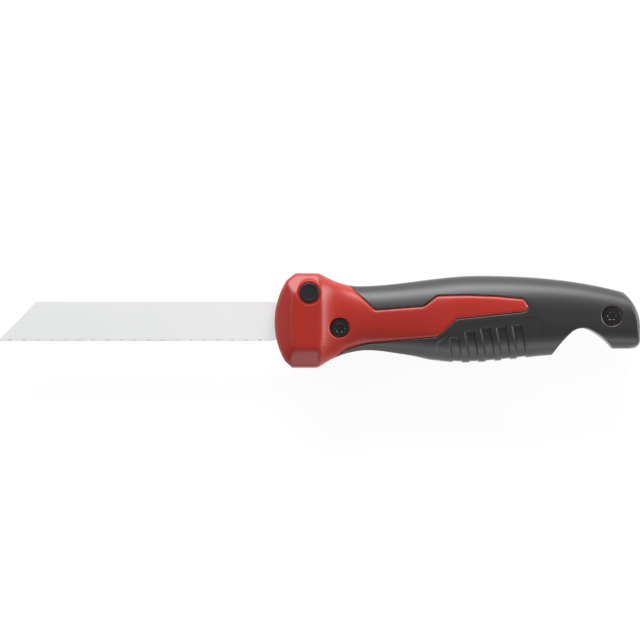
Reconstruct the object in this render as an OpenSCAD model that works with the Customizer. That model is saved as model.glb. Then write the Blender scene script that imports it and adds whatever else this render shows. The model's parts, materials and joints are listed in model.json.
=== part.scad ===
// Folding hand saw: a reciprocating-saw blade is clamped in a holder that folds into the handle.
// Working frame: the pivot axis is X = Y = 0 and the blade lies in the plane Z = 0, with its tip
// towards -X and its teeth towards -Y. in_place() moves the saw to its own frame, in which it lies
// on its right side with the origin at the bottom centre of its box.

/* [Blade] */
// Length of the blade from its tip to the end of its tang
blade_length = 152.4; // [125:0.1:185]
// Width of the blade from its back to the tooth tips
blade_width = 19; // [15.5:0.1:20]
// Thickness of the blade
blade_thick = 0.9; // [0.7:0.05:1.2]
// Distance between neighbouring teeth
tooth_pitch = 1.41; // [1.1:0.01:4.3]
// Depth of the gullets between the teeth
tooth_depth = 0.7; // [0.4:0.05:1.2]
// Angle between the slanted tip and the row of teeth
tip_angle = 46; // [35:1:60]
// Length of the tang
tang_length = 18.4; // [15.3:0.1:22.1]
// Width of the tang
tang_width = 12.7; // [10.5:0.1:14]
// Diameter of the hole in the tang
tang_hole_d = 4.2; // [3.5:0.1:5.1]
// Distance from the end of the tang to the centre of its hole
tang_hole_inset = 6.5; // [5.4:0.1:7.8]

/* [Head] */
// Height of the head
head_height = 46; // [42:0.5:56]
// Thickness of the head between its flat sides
head_thick = 32; // [30:0.5:39]
// Length of the full-height band of the head
band_length = 12; // [10:0.5:15]
// Distance from the pivot to the rear edge of the band
band_setback = 9.5; // [8:0.5:11.5]
// Length of the nose in front of the band
nose_length = 9.3; // [7.7:0.1:11.2]
// Thickness of the nose at its front edge
nose_thick = 16.4; // [15:0.2:20]

/* [Handle] */
// Distance from the pivot to the end of the tail
handle_reach = 143; // [138:0.5:175]
// Distance from the pivot to the slimmest place of the neck
neck_x = 13.5; // [11:0.5:16]
// Height of the neck above the pivot
neck_rise = 20; // [18:0.1:24]
// Depth of the neck below the pivot
neck_drop = 12; // [10:0.1:14]
// Distance from the pivot to the throat behind the folded holder
throat_x = 31.5; // [28:0.5:36]
// Depth of the throat below the pivot
throat_drop = 13.1; // [11.5:0.1:14.5]
// Thickness of the neck
neck_thick = 24.4; // [22:0.2:29]
// Distance from the pivot to the crown of the grip
crown_x = 66; // [60:1:84]
// Height of the crown above the pivot
crown_rise = 24.8; // [21:0.2:29]
// Distance from the pivot to the belly of the grip
belly_x = 59; // [50:1:70]
// Depth of the belly below the pivot
belly_drop = 16.7; // [14:0.1:20]
// Thickness of the grip between its flat sides
grip_thick = 32; // [28:0.5:38]
// Height of the tail above the pivot
tail_rise = 18; // [15:0.5:21]
// Depth of the tail below the pivot
tail_drop = 10; // [8.5:0.1:12]
// Thickness of the tail
tail_thick = 26.4; // [24:0.2:31]
// Length of the rounded end of the tail
tail_round = 12; // [10:0.5:14.5]
// Thickness of the rubber overmould
skin_thick = 2; // [1.7:0.1:2.4]
// Wall of the hollow shells
shell_wall = 2.8; // [2.3:0.1:3.4]
// Length of each hollow bay inside the grip
hollow_length = 15; // [12:0.5:17]
// Thickness of the ribs between the hollow bays
rib_thick = 6; // [5:0.5:7]

/* [Grip grooves] */
// Width of a finger groove
groove_width = 4.6; // [3.8:0.1:5.5]
// Distance between neighbouring grooves
groove_pitch = 7.4; // [6.5:0.1:9]
// Depth of a groove
groove_depth = 1.1; // [0.8:0.05:1.4]
// Lean of the grooves
groove_lean = 12; // [8:1:18]

/* [Finger notch] */
// Distance from the end of the tail to the centre of the notch
notch_setback = 28; // [24:0.5:32]
// Radius of the notch
notch_radius = 8.1; // [6.8:0.1:9.7]
// Depth of the top of the notch below the pivot
notch_top_drop = 0.4; // [0:0.1:2]
// Distance from the notch's centre to its front lip
notch_front = 13.8; // [12:0.1:16]
// Distance from the notch's centre to its rear lip
notch_rear = 14.7; // [12.5:0.1:17]

/* [Pivot] */
// Distance of the pivot below the blade's centre line
pivot_drop = 3; // [2.5:0.1:3.6]
// Distance from the pivot to the end of the tang
tang_gap = 9.4; // [9.2:0.1:11.2]
// Swing of the blade from open to folded
fold_angle = 177.5; // [176:0.1:178]
// Diameter of the pivot barrel
barrel_d = 8; // [6.7:0.1:9.6]
// Diameter of the pivot screw's thread
pivot_screw_d = 5; // [4.2:0.1:6]
// How far the screw and barrel heads stand out beyond the barrel
head_lip = 0.65; // [0.5:0.05:0.8]
// Height of the screw and barrel heads
head_rise = 2.5; // [2.1:0.1:3]
// Thickness of each shell under those heads
seat_thick = 2.4; // [2:0.1:2.9]
// Wall of the bush
bush_wall = 1; // [0.8:0.05:1.2]
// Wall of the holder's eye round the bush
hub_wall = 3.4; // [2.9:0.1:4.1]
// Thickness of the thrust washer
washer_thick = 0.6; // [0.5:0.05:0.75]
// Diameter of the stop pin
stop_pin_d = 3; // [2.5:0.1:3.6]
// Bearing of the stop pin from the pivot
stop_bearing = 95; // [92:1:98]

/* [Blade holder] */
// Thickness of the holder
carrier_thick = 6.4; // [5.8:0.1:7.6]
// Wall of the holder above the tang
tang_wall = 2.2; // [1.8:0.1:2.7]
// Width of the ledge below the tang that carries the clamp screw
ledge_width = 8; // [7.6:0.1:9.6]
// Lift of the clamp plate at the end of its travel
clamp_lift = 1.6; // [1.4:0.05:1.9]
// Diameter of the clamp screw's thread
clamp_screw_d = 4; // [3.4:0.1:4.5]
// Height of the clamp screw's head
clamp_head_rise = 1.6; // [1.4:0.05:1.8]

/* [Lock] */
// Distance of the lock bolt in front of the pivot
bolt_setback = 14.4; // [13.5:0.1:16]
// Distance of the lock bolt below the top of the head
bolt_inset = 9.4; // [8.8:0.1:10.2]
// Diameter of the bolt's collar
collar_d = 8; // [6.7:0.1:8.4]
// Diameter of the bolt's waist
waist_d = 3.5; // [2.9:0.1:4]
// Diameter of the buttons
button_d = 9.4; // [8.6:0.1:10]
// Travel of the bolt
bolt_travel = 3.9; // [3.8:0.05:4.4]
// Thickness of the holder's lock lobe
lobe_thick = 3; // [2.5:0.1:3.2]
// Wall of the lobe round the collar
lobe_wall = 2.15; // [1.8:0.05:2.6]
// Height of a button above its boss at the end of its travel
button_proud = 0.6; // [0.4:0.05:0.8]
// Depth of a boss below the flat side of the head
boss_inset = 1.6; // [1.4:0.1:2]

/* [Tail screw] */
// Distance from the end of the tail to the tail screw
tail_screw_setback = 14.1; // [11.8:0.1:15]
// Height of the tail screw above the pivot
tail_screw_rise = 5.6; // [5.5:0.1:7]
// Diameter of the tail screw's thread
tail_screw_d = 4; // [3.4:0.1:4.6]
// Diameter of the tail screw's head
tail_head_d = 9.2; // [7.8:0.1:10.5]

/* [Hidden] */
$fn = 48;

// Clearances
fit_gap = 0.02;
running_gap = 0.05;
slide_gap = 0.1;
free_gap = 0.4;
// A length that passes every wall
beyond = 60;

// Steps of the lofted handle
side_steps = 14;
nose_steps = 8;
flare_steps = 7;
grip_steps = 18;
tail_steps = 6;

// Outline of the head and the handle
head_top = pivot_drop + head_height / 2;
head_bottom = pivot_drop - head_height / 2;
head_half = head_thick / 2;
band_rear = -band_setback;
band_front = band_rear - band_length;
nose_radius = (nose_length ^ 2 + (head_height / 2) ^ 2) / (2 * nose_length);
nose_centre = band_front - nose_length + nose_radius;
nose_half_angle = asin(head_height / 2 / nose_radius);
nose_start = 8;
tail_x = handle_reach - tail_round;
notch_centre = [handle_reach - notch_setback, -notch_top_drop - notch_radius];
notch_lip = notch_centre.x - notch_front;
notch_lip_drop = 13;
side_half = max(head_thick, grip_thick) / 2;

// The sides are drawn a little fuller than their flats, which cut them off as flat lands.
fullness = 0.6;
tail_slope = -0.25;
top_line = [
    [band_rear, head_top, -0.62],
    [neck_x, neck_rise, 0],
    [crown_x, crown_rise, 0],
    [tail_x, tail_rise, tail_slope]
];
bottom_line = [
    [band_rear, head_bottom, 0.6],
    [neck_x, -neck_drop, 0],
    [throat_x, -throat_drop, -0.12],
    [belly_x, -belly_drop, 0],
    [notch_lip, -notch_lip_drop, 0.08],
    [tail_x, -tail_drop, 0]
];
side_line = [
    [band_rear, head_half + fullness, -0.9],
    [neck_x, neck_thick / 2, 0],
    [(crown_x + belly_x) / 2, grip_thick / 2 + fullness, 0],
    [tail_x, tail_thick / 2, -0.06]
];
roundness_line = [
    [band_rear, 2.2, 0],
    [neck_x, 2.3, 0],
    [(crown_x + belly_x) / 2, 2.6, 0],
    [tail_x, 2.8, 0]
];
tail_top_fall = 15;
tail_side_fall = 5;
tail_corner = 3;
nose_bulge = 1.15;

// Outline of the rubber's window, in which the red tongue shows
tongue_corners = [
    [-1.4, 26.6], [16.7, 8.5], [39.8, 10.3], [46.1, 15.3], [60, 15.6], [74.3, 15], [87.1, 13.8], [89.6, 9.9],
    [87.9, 7.4], [55.4, 4], [46.2, -4.5], [13.4, -7.5], [8.5, -8.6], [4, -10.1], [0.5, -12.1], [-7, -20.5]
];

// Levels across the blade's plane
blade_half = blade_thick / 2;
carrier_half = carrier_thick / 2;
bay_half = carrier_half + clamp_lift + free_gap;
pivot_face = carrier_half + washer_thick + 2 * slide_gap;
seat_face = pivot_face + seat_thick;
slot_half = blade_half + 1.15;
lobe_half = lobe_thick / 2;
lip_face = lobe_half + free_gap;
lip_depth = 4.8;
lip_end = lip_face + lip_depth;
boss_face = head_half - boss_inset;
button_top = boss_face + button_proud;
button_inner = lip_end + bolt_travel + slide_gap;
button_rise = button_top - button_inner;

// Places in the blade's plane
tip_x = -tang_gap - blade_length;
shoulder_x = -tang_gap - tang_length;
blade_back = pivot_drop + blade_width / 2;
tooth_line = pivot_drop - blade_width / 2;
tang_top = pivot_drop + tang_width / 2;
tang_bottom = pivot_drop - tang_width / 2;
tang_side_gap = 0.15;
hole_x = -tang_gap - tang_hole_inset;
block_top = tang_top + tang_side_gap + tang_wall;
block_bottom = tang_bottom - tang_side_gap - ledge_width;
block_front = shoulder_x + 0.2;
block_chamfer = 5;
block_reach = norm([block_front, block_top]);
ledge_level = blade_half - 0.2;
clamp_screw_place = [shoulder_x + 8, block_bottom + ledge_width / 2 + 0.2];
clamp_head_d = clamp_screw_d + 3.2;
clip_d = clamp_screw_d + 2.4;
clip_thick = 0.5;
clip_top = ledge_level - slide_gap;
bush_d = barrel_d + 2 * running_gap + 2 * bush_wall;
hub_d = bush_d + 2 * hub_wall;
barrel_head_d = barrel_d + 2 * head_lip;
recess_gap = 0.15;
stop_reach = hub_d / 2 + stop_pin_d / 2 + 1;
stop_place = stop_reach * [cos(stop_bearing), sin(stop_bearing)];
stop_half_angle = asin((stop_pin_d / 2 + slide_gap) / stop_reach);
open_bearing = stop_bearing + stop_half_angle;
folded_bearing = stop_bearing - stop_half_angle - fold_angle;
stop_pin_half = bay_half + 2.4;
bolt_place = [-bolt_setback, head_top - bolt_inset];
bolt_reach = norm(bolt_place);
bolt_bearing = atan2(bolt_place.y, bolt_place.x);
lobe_hole_r = collar_d / 2 + 0.15;
lobe_ring_r = lobe_hole_r + lobe_wall;
lobe_path_r = waist_d / 2 + 0.35;
lip_bore_r = collar_d / 2 + 0.2;
bolt_stem_r = collar_d / 2 - 1;
spigot_r = bolt_stem_r - 1;
spigot_length = button_rise - 1.6;
ring_r = 0.6;
ring_reach = button_d / 2 + running_gap - ring_r;
tail_screw_place = [handle_reach - tail_screw_setback, tail_screw_rise];
tail_head_rise = 2.5;
tail_seat = tail_thick / 2 - 4.6;
insert_wall = 1;
insert_d = tail_screw_d + 2 * insert_wall;
insert_length = 8;
hollow_start = -block_front + 9;
hollow_count = 3;
pin_d = 3;
pin_half = 5;
pin_rise = 13;
groove_start = [53.4, -4.3];
groove_climb = [0, 3.5, 4.3, 5.1, 5.6];

// Curves

function direction(a) = [cos(a), sin(a)];

// A cubic between two stations, each [place, value, slope]
function cubic(a, b, x) =
    let (w = b[0] - a[0], t = (x - a[0]) / w)
    a[1] * (1 + 2 * t) * (1 - t) ^ 2 + b[1] * t ^ 2 * (3 - 2 * t)
    + w * (a[2] * t * (1 - t) ^ 2 - b[2] * t ^ 2 * (1 - t));

// The value at x of a line of stations, level before the first and straight after the last
function along(line, x, i = 0) =
    x <= line[0][0] ? line[0][1] :
    i == len(line) - 1 ? line[i][1] + line[i][2] * (x - line[i][0]) :
    x <= line[i + 1][0] ? cubic(line[i], line[i + 1], x) : along(line, x, i + 1);

// The fall of a quarter ellipse from 0 at start to depth at start + width
function rounded_fall(x, start, width, depth) =
    x <= start ? 0 : depth * (1 - sqrt(max(0, 1 - ((x - start) / width) ^ 2)));

function top_at(x) = along(top_line, x) - rounded_fall(x, tail_x, tail_round, tail_top_fall);

function bottom_at(x) =
    along(bottom_line, x) + rounded_fall(x, handle_reach - tail_corner, tail_corner, tail_corner);

function nose_share(x) = max(0, (band_front - x) / nose_length);

function side_at(x) =
    x < band_front
    ? nose_thick / 2 + (side_line[0][1] - nose_thick / 2) * (1 - nose_share(x) ^ nose_bulge)
    : along(side_line, x) - rounded_fall(x, tail_x, tail_round, tail_side_fall);

function flat_at(x) = x < neck_x ? head_half : grip_thick / 2;

// The share of a section's half height that the round front of the nose leaves
function nose_cut(x) =
    x < band_front ? min(1, sqrt(nose_radius ^ 2 - (x - nose_centre) ^ 2) / (head_height / 2)) : 1;

function swell(v, power) = sign(v) * abs(v) ^ power;

// One half section at x, a distance d inside the surface, from its top edge to its bottom edge
function half_section(x, d) =
    let (
        top = top_at(x) - d,
        bottom = bottom_at(x) + d,
        middle = (top + bottom) / 2,
        half = (top - bottom) / 2,
        side = side_at(x) - d,
        power = 2 / along(roundness_line, x),
        cut = nose_cut(x),
        first = max(180 / side_steps, acos(cut ^ (1 / power))),
        step = (180 - 2 * first) / (side_steps - 2),
        angles = [for (k = [0 : side_steps - 2]) first + k * step]
    )
    concat(
        [[x, middle + half * cut, 0]],
        [for (a = angles)
            [x, middle + half * swell(cos(a), power), min(flat_at(x) - d, side * swell(sin(a), power))]],
        [[x, middle - half * cut, 0]]
    );

nose_places = [for (k = [0 : nose_steps])
    nose_centre - nose_radius * cos(nose_start + (nose_half_angle - nose_start) * k / nose_steps)];
flare_places = [for (k = [0 : flare_steps]) band_rear + (neck_x - band_rear) * k / flare_steps];
grip_places = [for (k = [1 : grip_steps]) neck_x + (tail_x - neck_x) * k / grip_steps];
tail_places = [for (k = [1 : tail_steps]) tail_x + tail_round * sin(90 * k / tail_steps)];
handle_places = concat(nose_places, flare_places, grip_places, tail_places);

// The handle's left half between two places, a distance d inside its surface
module half_handle(d = 0, from = -beyond, to = handle_reach) {
    inner = [for (x = handle_places) if (x > from && x < to) x];
    places = concat(from > handle_places[0] ? [from] : [], inner, [to]);
    n = side_steps + 1;
    last = len(places) - 1;
    points = [for (x = places) each half_section(x, d)];
    sides = [for (i = [0 : last - 1], k = [0 : side_steps - 1])
        let (a = i * n + k, b = a + n)
        each [[a, b, b + 1], [a, b + 1, a + 1]]];
    middle = [for (i = [0 : last - 1])
        let (a = i * n, b = a + n)
        each [[a, a + side_steps, b + side_steps], [a, b + side_steps, b]]];
    front = [[for (k = [0 : side_steps]) k]];
    rear = [[for (k = [side_steps : -1 : 0]) last * n + k]];
    polyhedron(points, concat(sides, middle, front, rear));
}

// A plate of a flat outline, centred on the blade's plane
module slab(half) {
    translate([0, 0, -half])
        linear_extrude(2 * half)
            children();
}

// A round bar between two levels
module bar(d, low, high) {
    translate([0, 0, low])
        cylinder(d = d, h = high - low);
}

module at(place) {
    translate([place.x, place.y, 0])
        children();
}

module in_place() {
    translate([-(tip_x + handle_reach) / 2, -pivot_drop, side_half])
        children();
}

module to_right() {
    mirror([0, 0, 1])
        children();
}

// A six-lobed drive recess
module drive(size, level, depth) {
    lobes = 6;
    steps = 36;
    points = [for (k = [0 : steps - 1])
        let (a = 360 * k / steps)
        (size / 2 * (0.86 + 0.14 * cos(lobes * a))) * direction(a)];
    translate([0, 0, level - depth])
        linear_extrude(depth + 1)
            polygon(points);
}

// Spaces inside the handle

// The window of the rubber, as a flat outline that reaches past the handle's top and bottom
module tongue_outline() {
    front = -beyond;
    last = tongue_corners[len(tongue_corners) - 1];
    polygon(concat(tongue_corners, [[last.x, front], [front, front], [front, beyond],
        [tongue_corners[0].x, beyond]]));
}

// The point where a line from p touches a circle, on the side that turn names
function touch(p, centre, r, turn) =
    let (d = p - centre)
    centre + r * direction(atan2(d.y, d.x) + turn * acos(r / norm(d)));

// The finger notch, a distance grow larger than its surface
module notch_outline(grow = 0) {
    r = notch_radius + grow;
    front = [notch_lip - grow, -notch_lip_drop];
    rear = [notch_centre.x + notch_rear + grow, -tail_drop];
    translate(notch_centre)
        circle(r);
    polygon([front, touch(front, notch_centre, r, -1), touch(rear, notch_centre, r, 1), rear,
        [rear.x, -beyond], [front.x, -beyond]]);
}

module notch(grow = 0) {
    slab(beyond)
        notch_outline(grow);
}

// Where the holder swings
module carrier_bay() {
    slot_top = blade_back + 0.8;
    difference() {
        slab(bay_half) {
            translate([-beyond, -beyond])
                square([beyond, beyond + slot_top]);
            translate([0, -beyond])
                square([block_reach + 1.5, beyond - block_bottom + 0.7]);
            circle(stop_reach + stop_pin_d / 2 + 1);
        }
        bar(hub_d + 0.6, pivot_face, bay_half + 1);
        bar(hub_d + 0.6, -bay_half - 1, -pivot_face);
    }
    slab(lip_face)
        intersection() {
            circle(bolt_reach + lobe_ring_r + 0.6);
            translate([-beyond, 0])
                square([beyond + bolt_place.x + lobe_ring_r + 0.5, bolt_place.y + lobe_ring_r + 0.5]);
        }
}

// Where the folded blade lies
module blade_slot() {
    tooth_clearance = 0.8;
    slab(slot_half)
        rotate(fold_angle)
            translate([tip_x - beyond, tooth_line - tooth_clearance])
                square([beyond - tip_x - block_reach + 4, 2 * beyond]);
}

module bolt_bore() {
    at(bolt_place) {
        bar(2 * lip_bore_r, lip_face - 1, lip_end + 1);
        bar(button_d + 2 * slide_gap, lip_end, beyond);
        bar(button_d + 2 * slide_gap + 1.8, boss_face, beyond);
    }
}

module pivot_bore() {
    bar(barrel_d + 2 * fit_gap, 0, beyond);
    bar(barrel_head_d + 2 * recess_gap, seat_face, beyond);
    at(stop_place)
        bar(stop_pin_d + 2 * fit_gap, 0, stop_pin_half);
}

module hollows() {
    for (k = [0 : hollow_count - 1]) {
        start = hollow_start + k * (hollow_length + rib_thick);
        half_handle(skin_thick + shell_wall, start, start + hollow_length);
    }
    for (k = [1 : hollow_count - 1])
        at([hollow_start + k * (hollow_length + rib_thick) - rib_thick / 2, pin_rise])
            bar(pin_d + 2 * fit_gap, -1, pin_half + slide_gap);
}

module left_tail_bore() {
    at(tail_screw_place) {
        bar(tail_screw_d + 2 * slide_gap, -1, tail_seat + 1);
        bar(tail_head_d + 2 * recess_gap, tail_seat, beyond);
    }
}

module right_tail_bore() {
    at(tail_screw_place)
        bar(insert_d + 2 * fit_gap, -1, insert_length + slide_gap);
}

// Handle

// The body of a shell under its rubber
module core() {
    difference() {
        half_handle(skin_thick, -band_setback / 2, handle_reach - skin_thick);
        notch(skin_thick);
    }
}

module bolt_boss() {
    top_r = button_d / 2 + slide_gap + 0.9;
    foot = boss_face - 5;
    at(bolt_place)
        translate([0, 0, foot])
            cylinder(r1 = top_r + 1.6, r2 = top_r, h = boss_face - foot);
}

module half_shell() {
    difference() {
        union() {
            intersection() {
                half_handle();
                slab(beyond)
                    tongue_outline();
            }
            core();
            bolt_boss();
        }
        carrier_bay();
        blade_slot();
        bolt_bore();
        pivot_bore();
        hollows();
        children();
    }
}

module grooves() {
    difference() {
        for (k = [0 : len(groove_climb) - 1])
            translate([groove_start.x + k * groove_pitch, groove_start.y + groove_climb[k], 0])
                rotate(groove_lean)
                    translate([-groove_width / 2, -beyond, 0])
                        cube([groove_width, beyond, beyond]);
        half_handle(groove_depth, belly_x - groove_width * 3, notch_lip);
    }
}

module half_grip() {
    difference() {
        half_handle();
        slab(beyond)
            tongue_outline();
        core();
        notch();
        grooves();
        carrier_bay();
        blade_slot();
        children();
    }
}

module left_shell() {
    color("firebrick")
        in_place()
            half_shell()
                left_tail_bore();
}

module right_shell() {
    color("firebrick")
        in_place()
            to_right()
                half_shell()
                    right_tail_bore();
}

module left_grip() {
    color([0.2, 0.2, 0.2])
        in_place()
            half_grip()
                left_tail_bore();
}

module right_grip() {
    color([0.2, 0.2, 0.2])
        in_place()
            to_right()
                half_grip();
}

// Pivot, stop and fasteners of the handle

module pivot_barrel() {
    color("silver")
        in_place()
            difference() {
                union() {
                    bar(barrel_d, -seat_face, seat_face - slide_gap);
                    bar(barrel_head_d, -seat_face - head_rise, -seat_face);
                }
                bar(pivot_screw_d, -pivot_face, seat_face);
                mirror([0, 0, 1])
                    drive(pivot_screw_d, seat_face + head_rise, head_rise - 1);
            }
}

module pivot_screw() {
    color([0.15, 0.15, 0.15])
        in_place()
            difference() {
                union() {
                    bar(pivot_screw_d - 2 * fit_gap, -pivot_face + 1, seat_face);
                    bar(barrel_head_d, seat_face, seat_face + head_rise);
                }
                drive(pivot_screw_d, seat_face + head_rise, head_rise - 1);
            }
}

module thrust_washer() {
    color("ivory")
        in_place()
            difference() {
                bar(hub_d - 2, carrier_half + slide_gap, pivot_face - slide_gap);
                bar(barrel_d + 2 * slide_gap, 0, bay_half);
            }
}

// A thin ring that waves up and down between the holder and the shell
module wave_washer() {
    waves = 3;
    steps = 36;
    thick = 0.35;
    radii = [barrel_d / 2 + slide_gap, hub_d / 2 - 1];
    middle = -(carrier_half + pivot_face) / 2;
    swing = (washer_thick - thick) / 2;
    points = [for (k = [0 : steps - 1])
        let (a = 360 * k / steps, z = middle + swing * cos(waves * a))
        each [for (side = [-1, 1], r = radii) concat(r * direction(a), z + side * thick / 2)]];
    faces = [for (k = [0 : steps - 1])
        let (a = 4 * k, b = 4 * ((k + 1) % steps))
        each [
            [a, b, b + 1], [a, b + 1, a + 1], [a + 1, b + 1, b + 3], [a + 1, b + 3, a + 3],
            [a + 3, b + 3, b + 2], [a + 3, b + 2, a + 2], [a + 2, b + 2, b], [a + 2, b, a]
        ]];
    color("silver")
        in_place()
            polyhedron(points, faces);
}

module stop_pin() {
    color("silver")
        in_place()
            at(stop_place)
                bar(stop_pin_d, -stop_pin_half, stop_pin_half);
}

module tail_screw() {
    color([0.15, 0.15, 0.15])
        in_place()
            at(tail_screw_place)
                difference() {
                    union() {
                        bar(tail_screw_d - 2 * fit_gap, 1 - insert_length, tail_seat);
                        bar(tail_head_d, tail_seat, tail_seat + tail_head_rise);
                    }
                    drive(tail_screw_d, tail_seat + tail_head_rise, tail_head_rise - 1);
                }
}

module tail_insert() {
    color("goldenrod")
        in_place()
            at(tail_screw_place)
                difference() {
                    bar(insert_d, -insert_length, -slide_gap);
                    bar(tail_screw_d, -insert_length - 1, 1);
                }
}

module locating_pins() {
    color("silver")
        in_place()
            for (k = [1 : hollow_count - 1])
                at([hollow_start + k * (hollow_length + rib_thick) - rib_thick / 2, pin_rise])
                    bar(pin_d, -pin_half, pin_half);
}

// Blade holder

module block_outline() {
    difference() {
        polygon([[0, block_top], [block_front, block_top], [block_front, block_bottom + block_chamfer],
            [block_front + block_chamfer, block_bottom], [0, block_bottom]]);
        polygon([[0, 0], beyond * direction(folded_bearing), [beyond, -beyond], [beyond, beyond],
            beyond * direction(open_bearing)]);
    }
    circle(d = hub_d);
}

// The lobe's ring round the lock bolt, with the path by which the bolt's waist leaves it
module lobe_outline() {
    difference() {
        union() {
            translate(bolt_place)
                circle(lobe_ring_r);
            translate([bolt_place.x - lobe_ring_r, block_top - 1])
                square([2 * lobe_ring_r, bolt_place.y - block_top + 1]);
        }
        translate(bolt_place)
            circle(lobe_hole_r);
        intersection() {
            difference() {
                circle(bolt_reach + lobe_path_r);
                circle(bolt_reach - lobe_path_r);
            }
            polygon([[0, 0], beyond * direction(bolt_bearing), beyond * direction(bolt_bearing - 35)]);
        }
    }
}

// The space for the tang, the clamp plate and what fastens them
module tang_recess() {
    wide = beyond - tang_gap + 0.2;
    ledge_edge = tang_bottom - tang_side_gap;
    translate([-beyond, ledge_edge, -blade_half - fit_gap])
        cube([wide, tang_top + tang_side_gap - ledge_edge, beyond]);
    translate([-beyond, -beyond, ledge_level])
        cube([wide, beyond + ledge_edge + 1, beyond]);
    at([hole_x, pivot_drop])
        bar(tang_hole_d - 0.3 + 2 * fit_gap, -beyond, 0);
    at(clamp_screw_place) {
        bar(clamp_screw_d + 2 * running_gap, -beyond, beyond);
        bar(clip_d + 2 * slide_gap, clip_top - clip_thick - slide_gap, beyond);
    }
}

module blade_carrier() {
    color("gray")
        in_place()
            difference() {
                union() {
                    slab(carrier_half)
                        block_outline();
                    slab(lobe_half)
                        lobe_outline();
                }
                bar(bush_d + 2 * fit_gap, -beyond, beyond);
                tang_recess();
            }
}

module pivot_bush() {
    color("peru")
        in_place()
            difference() {
                bar(bush_d, -carrier_half, carrier_half);
                bar(barrel_d + 2 * running_gap, -beyond, beyond);
            }
}

module tang_pin() {
    color("silver")
        in_place()
            at([hole_x, pivot_drop])
                bar(tang_hole_d - 0.3, -carrier_half, blade_half + 0.6);
}

module blade() {
    tip_land = 1;
    tip_rise = tooth_line + tip_land;
    tip_run = (blade_back - tip_rise) / tan(tip_angle);
    toothed = shoulder_x - 3 - tip_x;
    teeth = floor(toothed / tooth_pitch);
    tang_corner = 2;
    tooth_points = [for (k = [teeth - 1 : -1 : 0])
        let (x = tip_x + k * tooth_pitch)
        each [[x + tooth_pitch, tooth_line + tooth_depth], [x + 0.3 * tooth_pitch, tooth_line]]];
    color("gainsboro")
        in_place()
            slab(blade_half)
                difference() {
                    polygon(concat(
                        [[tip_x, tip_rise], [tip_x + tip_run, blade_back], [shoulder_x - 3, blade_back],
                            [shoulder_x, tang_top], [-tang_gap - tang_corner, tang_top],
                            [-tang_gap, tang_top - tang_corner], [-tang_gap, tang_bottom + tang_corner],
                            [-tang_gap - tang_corner, tang_bottom], [shoulder_x, tang_bottom],
                            [shoulder_x - 3, tooth_line + tooth_depth]],
                        tooth_points,
                        [[tip_x, tooth_line + tooth_depth]]
                    ));
                    translate([hole_x, pivot_drop])
                        circle(d = tang_hole_d);
                }
}

// Clamp of the blade

module clamp_plate() {
    rear = -tang_gap - 0.2;
    low = blade_half + fit_gap;
    color("darkgray")
        in_place()
            difference() {
                translate([block_front + 1, block_bottom, low])
                    cube([rear - block_front - 1, tang_top - block_bottom, carrier_half - low]);
                translate([block_front, block_bottom, 0])
                    rotate(45)
                        cube([2 * block_chamfer, sqrt(2) * block_chamfer, 3 * carrier_half], center = true);
                at([hole_x, pivot_drop])
                    bar(tang_hole_d + 1, 0, beyond);
                at(clamp_screw_place) {
                    bar(clamp_screw_d + 2 * slide_gap, 0, beyond);
                    bar(clamp_head_d + 2 * slide_gap, carrier_half - clamp_head_rise - slide_gap, beyond);
                }
            }
}

module clamp_screw() {
    under_head = carrier_half - clamp_head_rise;
    color([0.15, 0.15, 0.15])
        in_place()
            at(clamp_screw_place)
                difference() {
                    union() {
                        bar(clamp_screw_d, slide_gap - carrier_half, under_head);
                        bar(clamp_head_d, under_head, carrier_half);
                    }
                    drive(clamp_screw_d - 1, carrier_half, clamp_head_rise - 0.5);
                    difference() {
                        bar(clamp_screw_d + 1, clip_top - clip_thick - fit_gap, clip_top + fit_gap);
                        bar(clamp_screw_d - 0.9, -carrier_half, carrier_half);
                    }
                }
}

module screw_clip() {
    color("silver")
        in_place()
            at(clamp_screw_place)
                difference() {
                    bar(clip_d, clip_top - clip_thick, clip_top);
                    bar(clamp_screw_d - 0.9 + 2 * fit_gap, -beyond, beyond);
                }
}

// Lock

module lock_bolt() {
    collar_low = lip_face + 0.3;
    collar_high = collar_low + lobe_thick + free_gap;
    color("silver")
        in_place()
            at(bolt_place) {
                bar(2 * spigot_r, button_inner, button_inner + spigot_length);
                bar(2 * bolt_stem_r, collar_high, button_inner);
                bar(collar_d, collar_low, collar_high);
                bar(waist_d, -collar_low, collar_low);
                bar(2 * bolt_stem_r, bolt_travel - button_inner, -collar_low);
                bar(2 * spigot_r, bolt_travel - button_inner - spigot_length, bolt_travel - button_inner);
            }
}

// A cap with its inner face at level 0
module button() {
    difference() {
        bar(button_d, 0, button_rise);
        bar(2 * (spigot_r + fit_gap), -1, spigot_length + slide_gap);
        translate([0, 0, button_rise / 2])
            rotate_extrude()
                translate([ring_reach, 0])
                    circle(ring_r + fit_gap);
    }
}

module left_button() {
    color([0.2, 0.2, 0.2])
        in_place()
            at(bolt_place)
                translate([0, 0, button_inner])
                    button();
}

module right_button() {
    color([0.2, 0.2, 0.2])
        in_place()
            at(bolt_place)
                translate([0, 0, bolt_travel - button_inner])
                    to_right()
                        button();
}

module bolt_rings() {
    color("black")
        in_place()
            at(bolt_place)
                for (level = [button_inner + button_rise / 2, bolt_travel - button_inner - button_rise / 2])
                    translate([0, 0, level])
                        rotate_extrude()
                            translate([ring_reach, 0])
                                circle(ring_r);
}

left_shell();
right_shell();
left_grip();
right_grip();
pivot_barrel();
pivot_screw();
thrust_washer();
wave_washer();
stop_pin();
tail_screw();
tail_insert();
locating_pins();
blade_carrier();
pivot_bush();
tang_pin();
blade();
clamp_plate();
clamp_screw();
screw_clip();
lock_bolt();
left_button();
right_button();
bolt_rings();
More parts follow.
